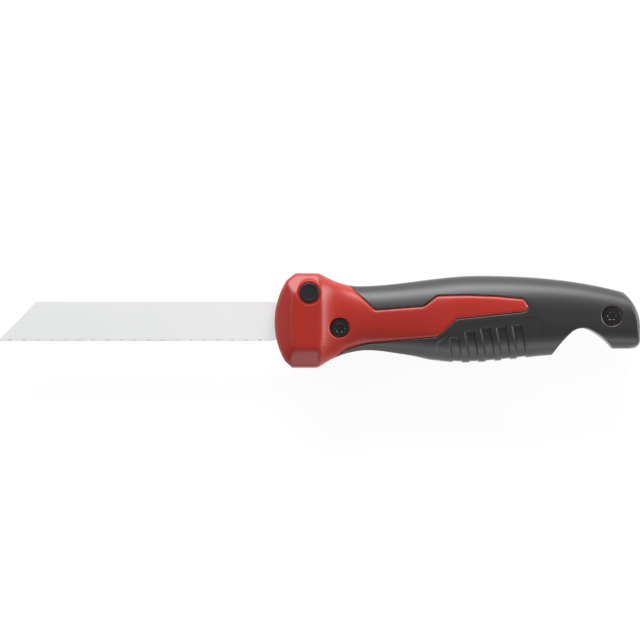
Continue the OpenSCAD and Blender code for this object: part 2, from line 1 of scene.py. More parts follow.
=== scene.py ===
# %% [markdown]
# # A folding saw in red plastic and black rubber
#
# The engineering model of this saw already has every piece at its real size. This lesson dresses it
# for a photograph: each step makes a finer mesh or a finish for one piece, in the same frame and in
# metres, and hangs it on the body that carries it. Nothing from the model is moved.

# %% Load the frame
import json
import math
from collections import Counter

import bmesh
import bpy
import numpy as np
from mathutils import Matrix, Vector
from mathutils.geometry import delaunay_2d_cdt
from mathutils.kdtree import KDTree


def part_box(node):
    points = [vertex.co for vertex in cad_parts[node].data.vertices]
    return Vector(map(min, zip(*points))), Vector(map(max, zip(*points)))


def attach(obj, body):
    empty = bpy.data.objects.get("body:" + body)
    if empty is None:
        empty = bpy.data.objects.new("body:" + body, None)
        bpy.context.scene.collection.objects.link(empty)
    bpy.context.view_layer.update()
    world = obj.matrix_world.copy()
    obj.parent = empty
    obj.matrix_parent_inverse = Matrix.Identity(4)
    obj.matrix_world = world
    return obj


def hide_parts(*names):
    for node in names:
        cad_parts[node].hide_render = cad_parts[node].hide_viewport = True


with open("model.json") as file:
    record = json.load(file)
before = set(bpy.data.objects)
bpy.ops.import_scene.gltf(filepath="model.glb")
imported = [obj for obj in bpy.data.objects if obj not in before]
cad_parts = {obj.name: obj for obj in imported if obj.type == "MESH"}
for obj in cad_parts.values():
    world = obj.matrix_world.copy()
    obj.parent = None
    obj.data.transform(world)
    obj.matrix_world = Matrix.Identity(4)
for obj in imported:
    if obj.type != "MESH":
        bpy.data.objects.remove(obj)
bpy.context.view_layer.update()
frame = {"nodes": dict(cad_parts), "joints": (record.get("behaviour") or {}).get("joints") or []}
print("pieces in the frame:", len(frame["nodes"]))

# %% [markdown]
# ## Where things are
#
# The handle is easiest to draw in millimetres, from the pivot that the blade turns on. The joint of
# the fold gives that point, and the boxes of the screws and of the lock bolt give the other places.

# %% Places from the frame
MM = 0.001
pivot = Vector(next(joint["pos_m"] for joint in frame["joints"] if joint["name"] == "blade_fold"))
to_frame = Matrix.Translation(pivot) @ Matrix.Scale(MM, 4)


def span_of(node):
    """Lowest and highest corner of a node, in millimetres from the pivot."""
    return [np.array((corner - pivot) / MM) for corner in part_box(node)]


def place_of(node):
    """Where a round piece's axis crosses the blade's plane."""
    low, high = span_of(node)
    return ((low + high) / 2)[:2]


bolt_place = place_of("lock_bolt")
tail_screw_place = place_of("tail_screw")
clamp_screw_place = place_of("clamp_screw")
print("lock bolt", bolt_place.round(2), "tail screw", tail_screw_place.round(2))

# %% [markdown]
# ## A kit for finishes
#
# A finish is a tree of shader nodes, and sums are hard to read in a tree. `Wire` wraps a socket so
# that Python's own signs add the Math nodes, and `Finish.node` makes any other node: its settings
# come first, because some of them change which sockets it has.

# %% Wires
class Wire:
    """A socket of a finish. Signs between wires and numbers add Math nodes."""

    def __init__(self, finish, socket):
        self.finish = finish
        self.socket = socket

    def maths(self, operation, first, second):
        return self.finish.node("Math", {"operation": operation}, {0: first, 1: second})

    def __add__(self, other):
        return self.maths("ADD", self, other)

    def __sub__(self, other):
        return self.maths("SUBTRACT", self, other)

    def __rsub__(self, other):
        return self.maths("SUBTRACT", other, self)

    def __mul__(self, other):
        return self.maths("MULTIPLY", self, other)

    __radd__ = __add__
    __rmul__ = __mul__


print("a wire knows:", [name for name in vars(Wire) if name.startswith("__r")])

# %% [markdown]
# `Finish` holds a material while it is wired up. Its other methods are the few textures that all the
# recipes share, so that each recipe below can be read in a few lines.

# %% Finishes
class Finish:
    """A material that is being wired up."""

    def __init__(self, name):
        self.material = bpy.data.materials.new(name)
        self.material.use_nodes = True
        self.tree = self.material.node_tree
        self.shader = self.tree.nodes["Principled BSDF"]
        self.place = self.node("TexCoord", output="Object")

    def feed(self, socket, value):
        if isinstance(value, Wire):
            self.tree.links.new(value.socket, socket)
        else:
            socket.default_value = value

    def node(self, kind, settings=None, sockets=None, output=0):
        made = self.tree.nodes.new("ShaderNode" + kind)
        for name, value in (settings or {}).items():
            setattr(made, name, value)
        for name, value in (sockets or {}).items():
            self.feed(made.inputs[name], value)
        return Wire(self, made.outputs[output])

    def coat(self, **sockets):
        for name, value in sockets.items():
            self.feed(self.shader.inputs[name.replace("_", " ")], value)

    def noise(self, scale, detail=2.0, place=None):
        """Even noise of that many blotches a metre, from 0 to 1."""
        return self.node("TexNoise", {}, {"Vector": place or self.place, "Scale": scale, "Detail": detail})

    def stretched(self, scale):
        """The place on the piece, scaled along each axis, so that noise turns into streaks."""
        return self.node("Mapping", {}, {"Vector": self.place, "Scale": scale})

    def between(self, value, low, high):
        """0 below low, 1 above high, and a soft step between them."""
        sockets = {"Value": value, "From Min": low, "From Max": high}
        return self.node("MapRange", {"interpolation_type": "SMOOTHSTEP"}, sockets)

    def tint(self, share, first, second):
        sockets = {0: share, 6: (*first, 1), 7: (*second, 1)}
        return self.node("Mix", {"data_type": "RGBA"}, sockets, output=2)

    def relief(self, height, depth, strength):
        """A Normal from a height of 0 to 1 that stands for that depth in metres."""
        return self.node("Bump", {}, {"Height": height, "Distance": depth, "Strength": strength})


print("a finish makes:", [name for name in vars(Finish) if not name.startswith("_")])

# %% [markdown]
# ## Red plastic
#
# The shells are moulded in a tough red plastic. The mould is spark-eroded, which leaves a fine satin
# grain: a very small bump, and a roughness that wanders a little. A broad, faint change of tint
# keeps large faces from looking painted.

# %% Red plastic
deep_red, bright_red = (0.355, 0.0215, 0.0145), (0.41, 0.027, 0.0185)
red_grains, red_clouds, red_grain_depth = 3200, 55, 0.000018
red_plastic = Finish("red_plastic")
red_grain = red_plastic.noise(red_grains, 3)
red_cloud = red_plastic.noise(red_clouds)
red_plastic.coat(
    Base_Color=red_plastic.tint(red_cloud, deep_red, bright_red),
    Roughness=0.33 + 0.12 * red_grain,
    Normal=red_plastic.relief(red_grain, red_grain_depth, 0.7),
    IOR=1.48,
)
print("made", red_plastic.material.name)

# %% [markdown]
# ## Black rubber
#
# The grip is a soft rubber, moulded over the plastic. It is matt, with an eroded texture, and the
# panel round the finger grooves has a coarser stipple than the rest. The panel is found by its
# place, and not by a picture: each of its sides is a sum of X and Y with a soft step. Walls that
# stand square to the parting plane come smoother out of a mould, so they shine a little more.

# %% Black rubber
far = 60.0
panel_corners = np.array([
    [95.6, -far], [96.4, 1.9], [94.6, 4.8], [87, 4.9], [57, 0.8], [46, -7.2], [42, -far],
])
panel_blur = 0.4 * MM
rubber_grains, rubber_dots, rubber_clouds, rubber_depth = 2400, 1150, 70, 0.00006
grain_share, stipple_share = 0.35, 0.65
wall_facing, open_facing = 0.1, 0.35
deep_black, worn_black = (0.0045, 0.0045, 0.0043), (0.0065, 0.0065, 0.0062)
black_rubber = Finish("black_rubber")
rubber_place = black_rubber.node("SeparateXYZ", {}, {"Vector": black_rubber.place})
rubber_x = Wire(black_rubber, rubber_place.socket.node.outputs["X"])
rubber_y = Wire(black_rubber, rubber_place.socket.node.outputs["Y"])
rubber_grain = black_rubber.noise(rubber_grains, 3)
dots = {"Vector": black_rubber.place, "Scale": rubber_dots}
rubber_stipple = black_rubber.node("TexVoronoi", {}, dots)
rubber_cloud = black_rubber.noise(rubber_clouds)
rubber_facing = black_rubber.node("TexCoord", output="Normal")
facing_out = black_rubber.node("SeparateXYZ", {}, {"Vector": rubber_facing}, output="Z")
facing_either = black_rubber.node("Math", {"operation": "ABSOLUTE"}, {0: facing_out})
on_wall = 1 - black_rubber.between(facing_either, wall_facing, open_facing)


def left_of(start, end):
    """1 to the left of the line between two places, 0 to the right of it."""
    way = (end - start) / np.linalg.norm(end - start)
    offset = way[0] * (start[1] * MM + pivot.y) - way[1] * (start[0] * MM + pivot.x)
    beyond = rubber_y * float(way[0]) - rubber_x * float(way[1])
    return black_rubber.between(beyond, offset, offset + panel_blur)


in_panel = left_of(panel_corners[0], panel_corners[1])
for start, end in zip(panel_corners[1:], panel_corners[2:]):
    in_panel = in_panel * left_of(start, end)
rubber_height = rubber_grain * grain_share + in_panel * (1 - rubber_stipple) * stipple_share
black_rubber.coat(
    Base_Color=black_rubber.tint(rubber_cloud, deep_black, worn_black),
    Roughness=0.43 + 0.12 * rubber_grain - 0.3 * on_wall,
    Normal=black_rubber.relief(rubber_height, rubber_depth, 0.8),
    IOR=1.77,
    Sheen_Weight=0.06,
    Sheen_Roughness=0.45,
)
print("made", black_rubber.material.name)

# %% [markdown]
# ## The blade's pale coating
#
# The blade is steel under a pale satin coating. The coating follows the lengthwise grinding marks of
# the strip, and the tooth line is ground after coating, so bare steel shows there. The teeth are set
# in a wave, and on its crests the bare grey reaches higher in short dashes, which are painted shade of
# the set teeth. A sine along X finds the crests, where a painted mask would have to be drawn by hand.

# %% Blade coating
blade_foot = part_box("blade")[0].y
ground_height, dash_shade_reach, ground_blur, ground_stray = 0.3 * MM, 0.5 * MM, 0.15 * MM, 0.3 * MM
tooth_wave, crest_start, crest_full = 6.6, 0.6, 0.9
mark_scale, mark_depth, blade_clouds = (30, 3000, 300), 0.000012, 40
# The bare grey colours the real bare tooth line and also the painted shade dashes on the wave's crests.
dull_white, clean_white, bare_and_shade_grey = (0.765, 0.78, 0.775), (0.80, 0.81, 0.805), (0.40, 0.405, 0.41, 1)
blade_enamel = Finish("blade_enamel")
blade_height = blade_enamel.node("SeparateXYZ", {}, {"Vector": blade_enamel.place}, output="Y")
blade_along = Wire(blade_enamel, blade_height.socket.node.outputs["X"])
wave_turn = (blade_along - pivot.x) * (2 * math.pi / (tooth_wave * MM))
wave = blade_enamel.node("Math", {"operation": "SINE"}, {0: wave_turn})
painted_dash_crest = blade_enamel.between(wave, crest_start, crest_full)
blade_marks = blade_enamel.noise(1.0, 4, blade_enamel.stretched(mark_scale))
blade_cloud = blade_enamel.noise(blade_clouds, 3)
# The dashes that the crests add are painted shade of the set teeth; the rest of the bare line is real bare
# steel.
ground_and_dash_edge = blade_height - blade_foot - painted_dash_crest * dash_shade_reach + (blade_marks - 0.5) * ground_stray
bare_steel_and_dash_shade = 1 - blade_enamel.between(ground_and_dash_edge, ground_height, ground_height + ground_blur)
coated = blade_enamel.tint(blade_cloud, dull_white, clean_white)
colours = {0: bare_steel_and_dash_shade, 6: coated, 7: bare_and_shade_grey}
blade_enamel.coat(
    Base_Color=blade_enamel.node("Mix", {"data_type": "RGBA"}, colours, output=2),
    Metallic=bare_steel_and_dash_shade * 0.6,
    Roughness=0.4 + 0.16 * blade_marks - bare_steel_and_dash_shade * 0.1,
    Normal=blade_enamel.relief(blade_marks, mark_depth, 0.6),
)
print("made", blade_enamel.material.name)

# %% [markdown]
# ## Metals
#
# The fittings are turned or milled, so their noise is stretched into streaks. Black oxide is a thin
# skin on steel, so the black screws are a dark metal with a mottled shine. All of them share one
# function, because only the colours, the roughness and the streaks change.

# %% Metals
metal_clouds, streak_depth = 160, 0.000015


def turned_metal(name, dark, light, rough, streaks=(900, 900, 60)):
    """A metal with fine machining streaks."""
    finish = Finish(name)
    marks = finish.noise(1.0, 3, finish.stretched(streaks))
    cloud = finish.noise(metal_clouds)
    finish.coat(
        Base_Color=finish.tint(cloud, dark, light),
        Metallic=1.0,
        Roughness=rough + 0.14 * marks,
        Normal=finish.relief(marks, streak_depth, 0.5),
    )
    print("made", name)
    return finish


steel = turned_metal("steel", (0.50, 0.505, 0.51), (0.60, 0.605, 0.61), 0.24)
black_steel = turned_metal("black_steel", (0.12, 0.12, 0.125), (0.18, 0.18, 0.185), 0.18)
brass = turned_metal("brass", (0.72, 0.50, 0.19), (0.80, 0.58, 0.26), 0.26)
bronze = turned_metal("bronze", (0.45, 0.25, 0.11), (0.56, 0.34, 0.17), 0.36, (700, 700, 700))

# %% [markdown]
# ## Small plastics
#
# The lock buttons are black plastic, and one washer is white nylon. Both come from a mould with a fine
# grain, which moves the shine and the normal a little. A plain shader would look like glass.

# %% Small plastics
plastic_clouds, plastic_grain_depth = 90, 0.00002


def moulded_plastic(name, dark, light, rough, grain_scale):
    """A plain plastic with a fine eroded grain."""
    finish = Finish(name)
    grain = finish.noise(grain_scale, 3)
    finish.coat(
        Base_Color=finish.tint(finish.noise(plastic_clouds), dark, light),
        Roughness=rough + 0.12 * grain,
        Normal=finish.relief(grain, plastic_grain_depth, 0.6),
    )
    print("made", name)
    return finish


black_plastic = moulded_plastic("black_plastic", (0.016, 0.016, 0.016), (0.024, 0.024, 0.024), 0.24, 3000)
white_nylon = moulded_plastic("white_nylon", (0.76, 0.75, 0.70), (0.82, 0.81, 0.77), 0.42, 1800)

# %% [markdown]
# ## Outline of the handle
#
# Seen along the handle, every section is a rounded oval cut at the parting plane of the two halves.
# Four lines along X give its top, bottom, half thickness and roundness, with cubic curves between a
# few stations, as a boat's frames follow its battens. Each station is a place, a value and a slope.

# %% Stations of the handle
head_top, head_bottom, head_middle = 26.0, -19.12, 3.0
flat_side, full_side = 16.0, 16.6
band_front, band_rear = -21.5, -9.5
nose_length, nose_edge, nose_bulge = 9.4, 8.2, 1.15
nose_centre, nose_radius, nose_upper, nose_lower = np.array([6.1, 2.7]), 37.0, 147.7, 210
chamfer_above, chamfer_below = -20.9, -22.4
facet_half, facet_slope, facet_fade, facet_end = 12.9, 0.62, 0.4, band_rear - 1
tail_x, tail_end, tail_radius, tail_corner = 131.0, 143.0, 22.0, 4.2
lip_x, lip_drop, tail_drop = 101.4, 13.0, 10.0
neck_x, widest_x = 13.5, 62.5
top_line = [[band_rear, head_top, -0.62], [9, 19.85, 0], [66, 24.8, 0], [tail_x, 18, -0.25]]
bottom_line = [
    [-10.2, head_bottom, 0.75], [neck_x, -12, 0], [31.5, -13.8, -0.1], [59, -16.7, 0],
    [lip_x, -lip_drop, 0.08], [tail_x, -tail_drop, 0],
]
side_line = [[band_rear, full_side, -0.9], [neck_x, 12.2, 0], [widest_x, 16.6, 0], [tail_x, 13.2, -0.06]]
roundness_line = [[band_rear, 4, 0], [neck_x, 2.3, 0], [widest_x, 2.6, 0], [tail_x, 2.8, 0]]


def along(line, x):
    """The value at x of a line of stations, which runs on straight past its ends."""
    first, last = line[0], line[-1]
    value = np.where(x < first[0], first[1] + first[2] * (x - first[0]), last[1] + last[2] * (x - last[0]))
    for a, b in zip(line, line[1:]):
        width = b[0] - a[0]
        t = (x - a[0]) / width
        curve = a[1] * (1 + 2 * t) * (1 - t) ** 2 + b[1] * t**2 * (3 - 2 * t)
        curve += width * (a[2] * t * (1 - t) ** 2 - b[2] * t**2 * (1 - t))
        value = np.where((x >= a[0]) & (x <= b[0]), curve, value)
    return value


def soft_min(a, b, blend):
    """The lower of two values, with the corner between them rounded."""
    near = np.maximum(blend - np.abs(a - b), 0) / blend
    return np.minimum(a, b) - near**2 * blend / 4


def soft_max(a, b, blend):
    """The higher of two values, rounded in the same way."""
    return -soft_min(-a, -b, blend)


def swell(value, power):
    """A power that keeps the sign."""
    return np.sign(value) * np.abs(value) ** power


print("the nose reaches", band_front - nose_length, "mm")

# %% [markdown]
# A section is a rounded oval. On the head its top and bottom are cut by flat facets. The nose and the
# tail run on past their ends, and are cut later.

# %% Sections of the handle
edge_round = 1.0
flat_round = 0.9
last_x = tail_end + 1


def frame_at(x, inset=0.0):
    """Middle, half height, half thickness and roundness of the section at x."""
    top = soft_min(head_top, along(top_line, x), edge_round)
    bottom = soft_max(head_bottom, along(bottom_line, x), edge_round)
    nose = full_side - (full_side - nose_edge) * swell((band_front - x) / nose_length, nose_bulge)
    side = soft_min(along(side_line, x), nose, edge_round)
    side = soft_min(side, full_side, edge_round)
    return (top + bottom) / 2, (top - bottom) / 2 - inset, side - inset, along(roundness_line, x)


def surface(x, angle, inset=0.0):
    """A point of the left half's skin. The angle runs from 0 at the top edge to pi at the bottom edge."""
    middle, half, side, roundness = frame_at(x, inset)
    y = middle + half * swell(np.cos(angle), 2 / roundness)
    z = soft_min(flat_side - inset, side * swell(np.sin(angle), 2 / roundness), flat_round)
    facet = flat_side - inset - facet_slope * (np.abs(y - head_middle) - facet_half)
    facet = facet + facet_fade * np.maximum(x - facet_end, 0) ** 2
    return np.stack(np.broadcast_arrays(x, y, soft_min(z, facet, flat_round)), axis=-1)


print("widest section:", surface(np.array(widest_x), np.array(math.pi / 2)).round(2))

# %% [markdown]
# ## A flat pattern for the skin
#
# The rubber meets the plastic along a drawn line, and grooves, bores and edges follow other lines. A
# plain grid would show steps along them. So the skin is laid out flat first, as a tailor does: one
# axis is X and the other the distance round the section. Tables turn the angle into that distance.

# %% Tables between the pattern and the sections
table_step = 0.5
table_places = np.arange(band_front - nose_length, last_x + table_step, table_step)
side_column = 180
table_angles = np.linspace(0, math.pi, 2 * side_column + 1)
table_skin = surface(table_places[:, None], table_angles[None, :])
hops = np.linalg.norm(np.diff(table_skin[..., 1:], axis=1), axis=2)
table_reach = np.concatenate([np.zeros((len(hops), 1)), np.cumsum(hops, axis=1)], axis=1)
table_reach = table_reach[:, [side_column]] - table_reach
table_shares = np.linspace(-1, 1, 401)
up_reach, down_reach = table_reach[:, 0], -table_reach[:, -1]


def turn_row(reach, up, down):
    """The angle for each share of the way from the bottom edge to the top edge."""
    wanted = np.where(table_shares > 0, table_shares * up, table_shares * down)
    return np.interp(wanted, reach[::-1], table_angles[::-1])


table_turn = np.stack([turn_row(*row) for row in zip(table_reach, up_reach, down_reach)])


def sample(table, row, column):
    """The value of a table between its rows and columns."""
    row = np.clip(row, 0, table.shape[0] - 1.001)
    column = np.clip(column, 0, table.shape[1] - 1.001)
    i, j = row.astype(int), column.astype(int)
    f, g = row - i, column - j
    upper = table[i, j] * (1 - g) + table[i, j + 1] * g
    lower = table[i + 1, j] * (1 - g) + table[i + 1, j + 1] * g
    return upper * (1 - f) + lower * f


def row_of(x):
    """The row of the tables at x."""
    return (x - table_places[0]) / table_step


def edge_reach(x):
    """How far the top and the bottom edge lie from the middle of the side, round the section."""
    return np.interp(x, table_places, up_reach), np.interp(x, table_places, down_reach)


def skin_at(pattern):
    """Points of the skin for points of the pattern."""
    x, reach = pattern[:, 0], pattern[:, 1]
    up, down = edge_reach(x)
    share = np.where(reach > 0, reach / up, reach / down)
    angle = sample(table_turn, row_of(x), (share + 1) / 2 * (len(table_shares) - 1))
    return surface(x, angle)


def pattern_of(view):
    """Points of the pattern for points of the side view. What lies past an edge comes back to the edge."""
    x = view[:, 0]
    middle, half, _, roundness = frame_at(x)
    height = np.clip((view[:, 1] - middle) / half, -1, 1)
    angle = np.arccos(swell(height, roundness / 2))
    reach = sample(table_reach, row_of(x), angle / math.pi * (len(table_angles) - 1))
    return np.stack([x, reach], axis=1)


trial = pattern_of(np.array([[60.0, 5.0]]))
print("the pattern finds a point again:", skin_at(trial).round(3))

# %% [markdown]
# ## Lines on the pattern
#
# Each feature is an outline on the side view. A few lines beside it, at small distances, let its
# edges be rounded: the more a line's slope changes, the closer the next line is.

# %% Outlines
corner_share, corner_steps, flank_steps = 0.4, 7, 12


def bow(start, control, end, steps):
    """A bowed line between two points, which leaves and arrives in line with a control point."""
    t = np.linspace(0, 1, steps)[:, None]
    return start * (1 - t) ** 2 + 2 * control * t * (1 - t) + end * t**2


def rounded(corners, radius):
    """A closed outline with its corners rounded."""
    points = []
    for before, corner, after in zip(np.roll(corners, 1, 0), corners, np.roll(corners, -1, 0)):
        ways = [before - corner, after - corner]
        lengths = [np.linalg.norm(way) for way in ways]
        cut = min(radius, corner_share * min(lengths))
        start, end = [corner + way / length * cut for way, length in zip(ways, lengths)]
        points.append(bow(start, corner, end, corner_steps))
    return np.vstack(points)


def evenly(path, step):
    """The same path with points at equal steps."""
    lengths = np.concatenate([[0], np.cumsum(np.linalg.norm(np.diff(path, axis=0), axis=1))])
    places = np.linspace(0, lengths[-1], max(2, int(round(lengths[-1] / step)) + 1))
    return np.stack([np.interp(places, lengths, path[:, k]) for k in (0, 1)], axis=1)


def beside(outline, distance, step):
    """A closed outline moved sideways by a distance, outwards for one that runs anticlockwise."""
    path = evenly(np.vstack([outline, outline[:1]]), step)[:-1]
    ahead = np.roll(path, -1, 0) - np.roll(path, 1, 0)
    normal = np.stack([ahead[:, 1], -ahead[:, 0]], axis=1)
    normal /= np.linalg.norm(normal, axis=1)[:, None]
    moved = path + distance * normal
    return np.vstack([moved, moved[:1]])


def arc(centre, radius, turns):
    """Points of a circle at the given angles."""
    return centre + radius * np.stack([np.cos(turns), np.sin(turns)], axis=1)


def ring(centre, radius, count=72):
    """A whole circle, without its first point again at the end."""
    return arc(centre, radius, np.linspace(0, 2 * math.pi, count, endpoint=False))


def distance_to(outline, points):
    """Distance from points to a closed outline, negative inside it."""
    nearest = np.full(len(points), np.inf)
    inside = np.zeros(len(points), bool)
    for a, b in zip(outline, np.roll(outline, -1, 0)):
        edge, arm = b - a, points - a
        t = np.clip(arm @ edge / (edge @ edge), 0, 1)
        nearest = np.minimum(nearest, ((arm - t[:, None] * edge) ** 2).sum(axis=1))
        if a[1] != b[1]:
            crossing = a[0] + (points[:, 1] - a[1]) * edge[0] / edge[1]
            inside ^= ((a[1] > points[:, 1]) != (b[1] > points[:, 1])) & (points[:, 0] < crossing)
    return np.where(inside, -1, 1) * np.sqrt(nearest)


print("a ring of", len(ring(bolt_place, 5)), "points")

# %% [markdown]
# The red tongue is a window in the rubber. Its outline runs anticlockwise round the head, far outside
# the handle, so that only the window's own edge falls on the skin. The grooves lean and run round the
# belly, and the stippled panel lies round them.

# %% Tongue, panel and grooves
tongue_corners = np.array([
    [-8.8, -far], [-8.8, -20.5], [0.5, -12.1], [4, -10.1], [8.5, -8.6], [13.4, -7.5], [46.2, -4.5],
    [55.4, 4], [87.9, 7.4], [89.6, 9.9], [87.1, 13.8], [74.3, 15], [60, 15.6], [46.1, 15.3],
    [39.8, 10.3], [16.7, 8.5], [-1.4, 26.6], [-1.4, far], [-far, far], [-far, -far],
])
tongue_corner, panel_corner, groove_corner = 1.1, 1.0, 0.6
tongue = rounded(tongue_corners, tongue_corner)
groove_width, groove_pitch = 4.5, 7.45
groove_depth, groove_belly_depth = 1.3, 0.55
groove_lean = math.tan(math.radians(10))
groove_start = np.array([53.9, -5.2])
groove_climbs = [0, 3.2, 5.2, 5.8, 6.4]
groove_peaks = [0.71, 0.61, 0.01, 0.01, 0.01]
panel = rounded(panel_corners, panel_corner)


def groove_outline(number):
    """One finger groove, from its top end to well below the belly."""
    half, foot = groove_width / 2, far * groove_lean
    top_middle = [0, groove_peaks[number]]
    corners = np.array([[foot - half, -far], [foot + half, -far], [half, 0], top_middle, [-half, 0]])
    place = groove_start + [number * groove_pitch, groove_climbs[number]]
    return rounded(corners + place, groove_corner)


grooves = [groove_outline(number) for number in range(len(groove_climbs))]
print("tongue", len(tongue), "points, panel", len(panel), "points,", len(grooves), "grooves")

# %% [markdown]
# The finger notch is a round top with two bowed flanks. The two ends of the handle are drawn as one
# closed outline, with the arcs of the tail and the arc of the nose between its chamfers, so that one
# distance serves to round both rims.

# %% Notch and ends
notch_centre = np.array([115.2, -8.4])
notch_radius, notch_rear = 8.1, 13.9
rear_bow, front_bow, flank_pull = math.radians(12), math.radians(6.5), 0.6


def touch(point, radius, turn):
    """Where a line from a point touches a circle round the notch's centre."""
    arm = point - notch_centre
    return math.atan2(arm[1], arm[0]) + turn * math.acos(radius / np.linalg.norm(arm))


def flank(before, start, lip):
    """A bowed run from the end of the notch's round top to a lip."""
    ahead = (start - before) / np.linalg.norm(start - before)
    control = start + flank_pull * np.linalg.norm(lip - start) * ahead
    return bow(start, control, lip, flank_steps)[1:]


def notch_outline(grow=0.0):
    """The finger notch: a round top that runs out to both lips."""
    radius = notch_radius + grow
    front = np.array([lip_x - grow, -lip_drop])
    rear = np.array([notch_centre[0] + notch_rear + grow, -tail_drop])
    first = touch(rear, radius, 1) + rear_bow
    last = touch(front, radius, -1) % (2 * math.pi) - front_bow
    top = arc(notch_centre, radius, np.linspace(first, last, 40))
    feet = [[front[0], -far], [rear[0], -far]]
    rise = flank(top[1], top[0], rear)[::-1]
    return np.vstack([top, flank(top[-2], top[-1], front), feet, rise])


def ends_outline(inset=0.0):
    """All that lies between the two ends of the handle, anticlockwise from the tail's lower corner."""
    middle = np.array([tail_end - tail_radius, 0])
    corner = np.array([tail_end - tail_corner, tail_corner - tail_drop])
    quarter = np.linspace(0, math.pi / 2, 40)
    tail_foot = arc(corner, tail_corner - inset, quarter - math.pi / 2)
    tail_arc = arc(middle, tail_radius - inset, quarter)
    nose = arc(nose_centre, nose_radius - inset, np.radians(np.linspace(nose_upper, nose_lower, 60)))
    top = [[middle[0], far], [chamfer_above, far], [chamfer_above, head_top]]
    bottom = [[chamfer_below, head_bottom], [chamfer_below, -far], [corner[0], -far]]
    return np.vstack([tail_foot, tail_arc, top, nose, bottom])


notch = notch_outline()
ends = ends_outline()
print("notch", len(notch), "points, ends", len(ends), "points")

# %% [markdown]
# ## Rounded edges
#
# No moulded edge is sharp. `roll` says how far a rounded edge has fallen near its line, and the sheet
# is lowered by that along its own normal. Underneath, the halves leave a bay for the blade holder and
# a narrow slot for the folded blade, and those edges are rounded in the same way.

# %% Edges and levels
red_round, rubber_round, red_sink, sink_width, drop_height = 0.9, 0.45, 0.4, 1.6, 4.0
parting, edge_trim, parting_round = 0.03, 0.2, 0.2
bay_half, bay_end, slot_half, opening_round = 5.2, 31.48, 1.6, 0.4
lead_depth, lead_length, lead_blend = 0.85, 12.0, 1.5
notch_round, nose_round, tail_round, tail_trim = 1.0, 1.6, 2.0, 0.04
boss_face, boss_top, boss_slope, boss_step = 14.4, 5.7, 3.125, 0.04
button_bore, pivot_recess, tail_recess = 4.8, 4.8, 4.75
tail_seat, lining_wall, rubber_wall, core_start = 8.6, 0.8, 2.0, -4.75
boss_round, foot_round, foot_blend, bore_round = 0.6, 0.35, 0.5, 0.25
panel_depth, panel_start, panel_run = 0.09, 0.05, 0.25
belly_facing, side_facing, nose_share, least_round = 0.25, 0.75, 0.5, 0.05
groove_round, lip_share, wall_width = 0.4, 0.3, 0.42


def roll(inside, radius):
    """How far a rounded edge has fallen at a distance inside its line."""
    left = np.clip(radius - inside, 0, radius)
    return radius - np.sqrt(radius**2 - left**2)


def smooth(share):
    share = np.clip(share, 0, 1)
    return share**2 * (3 - 2 * share)


def from_opening(x, depth):
    """Distance on the underside from the edge of the bay or of the slot."""
    from_bay = np.hypot(np.maximum(x - bay_end, 0), np.maximum(depth - bay_half, 0))
    return np.minimum(from_bay, np.maximum(depth - slot_half, 0))


print("a rounded seam falls", roll(np.array([0.0, 0.1, 0.3]), red_round).round(3))

# %% [markdown]
# Three drillings break the skin of a half: the lock button's bore in its drafted boss, the recess of
# the pivot, and the recess of the tail screw, which only the left half has.

# %% Heights of the skin
def with_boss(place, height):
    """The skin near the lock button: a drafted boss where it is low, a sunk face where it is high."""
    reach = np.linalg.norm(place - bolt_place, axis=1)
    cone = soft_min(boss_face, boss_face - (reach - boss_top) * boss_slope, boss_round)
    outside = soft_max(height - roll(reach - boss_top - boss_step, foot_round), cone, foot_blend)
    raised = np.where(reach > boss_top + boss_step / 2, outside, cone)
    return np.where(reach < button_bore, boss_face, raised - roll(reach - button_bore, bore_round))


def shaped_skin(pattern, recesses, red):
    """Points of the finished skin for points of the pattern, on the red or the black side of the seam."""
    step = 0.05
    skin = skin_at(pattern)
    view = skin[:, :2]
    forward = skin_at(pattern + [step, 0]) - skin_at(pattern - [step, 0])
    across = skin_at(pattern + [0, step]) - skin_at(pattern - [0, step])
    normal = np.cross(forward, across)
    normal /= np.linalg.norm(normal, axis=1)[:, None]
    seam = distance_to(tongue, view)
    if red:
        inside = np.maximum(-seam, 0)
        drop = roll(inside, red_round) + red_sink * (1 - smooth(inside / sink_width))
    else:
        drop = roll(np.maximum(seam, 0), rubber_round)
    fall = np.zeros(len(skin))
    on_side = smooth((normal[:, 2] - belly_facing) / (side_facing - belly_facing))
    depth = groove_belly_depth + (groove_depth - groove_belly_depth) * on_side
    for groove in grooves:
        beyond = distance_to(groove, view)
        lip = roll(np.maximum(beyond, 0), groove_round) / groove_round
        fall += depth * (lip_share * lip + (1 - lip_share) * smooth(-beyond / wall_width))
    fall += panel_depth * smooth((panel_start - distance_to(panel, view)) / panel_run)
    fall += roll(distance_to(notch, view), notch_round)
    up, _ = edge_reach(pattern[:, 0])
    fall += roll(up - edge_trim - pattern[:, 1], parting_round)
    opening = from_opening(view[:, 0], skin[:, 2])
    lead = 1 - smooth((view[:, 0] - bay_end) / lead_length)
    lead *= 1 - smooth((skin[:, 2] - bay_half + lead_blend / 2) / lead_blend)
    fall += np.where(pattern[:, 1] < 0, roll(opening, opening_round) + lead_depth * lead, 0)
    for place, radius, edge in recesses:
        fall += roll(np.linalg.norm(view - place, axis=1) - radius, edge)
    skin = skin - fall[:, None] * normal
    skin[:, 2] -= drop * smooth(skin[:, 2] / drop_height)
    skin[:, 2] = with_boss(view, skin[:, 2])
    from_end = np.maximum(-distance_to(ends, view), 0)
    nose = skin[:, 2] - roll(from_end, np.clip(nose_share * skin[:, 2], least_round, nose_round))
    share = np.clip((from_end + tail_trim) / tail_round, 0, 1)
    tail = skin[:, 2] * np.sqrt(share * (2 - share))
    skin[:, 2] = np.where(view[:, 0] < band_rear, nose, tail)
    return skin


print("skin at the lock button:", shaped_skin(pattern_of(bolt_place[None, :]), [], True).round(2))

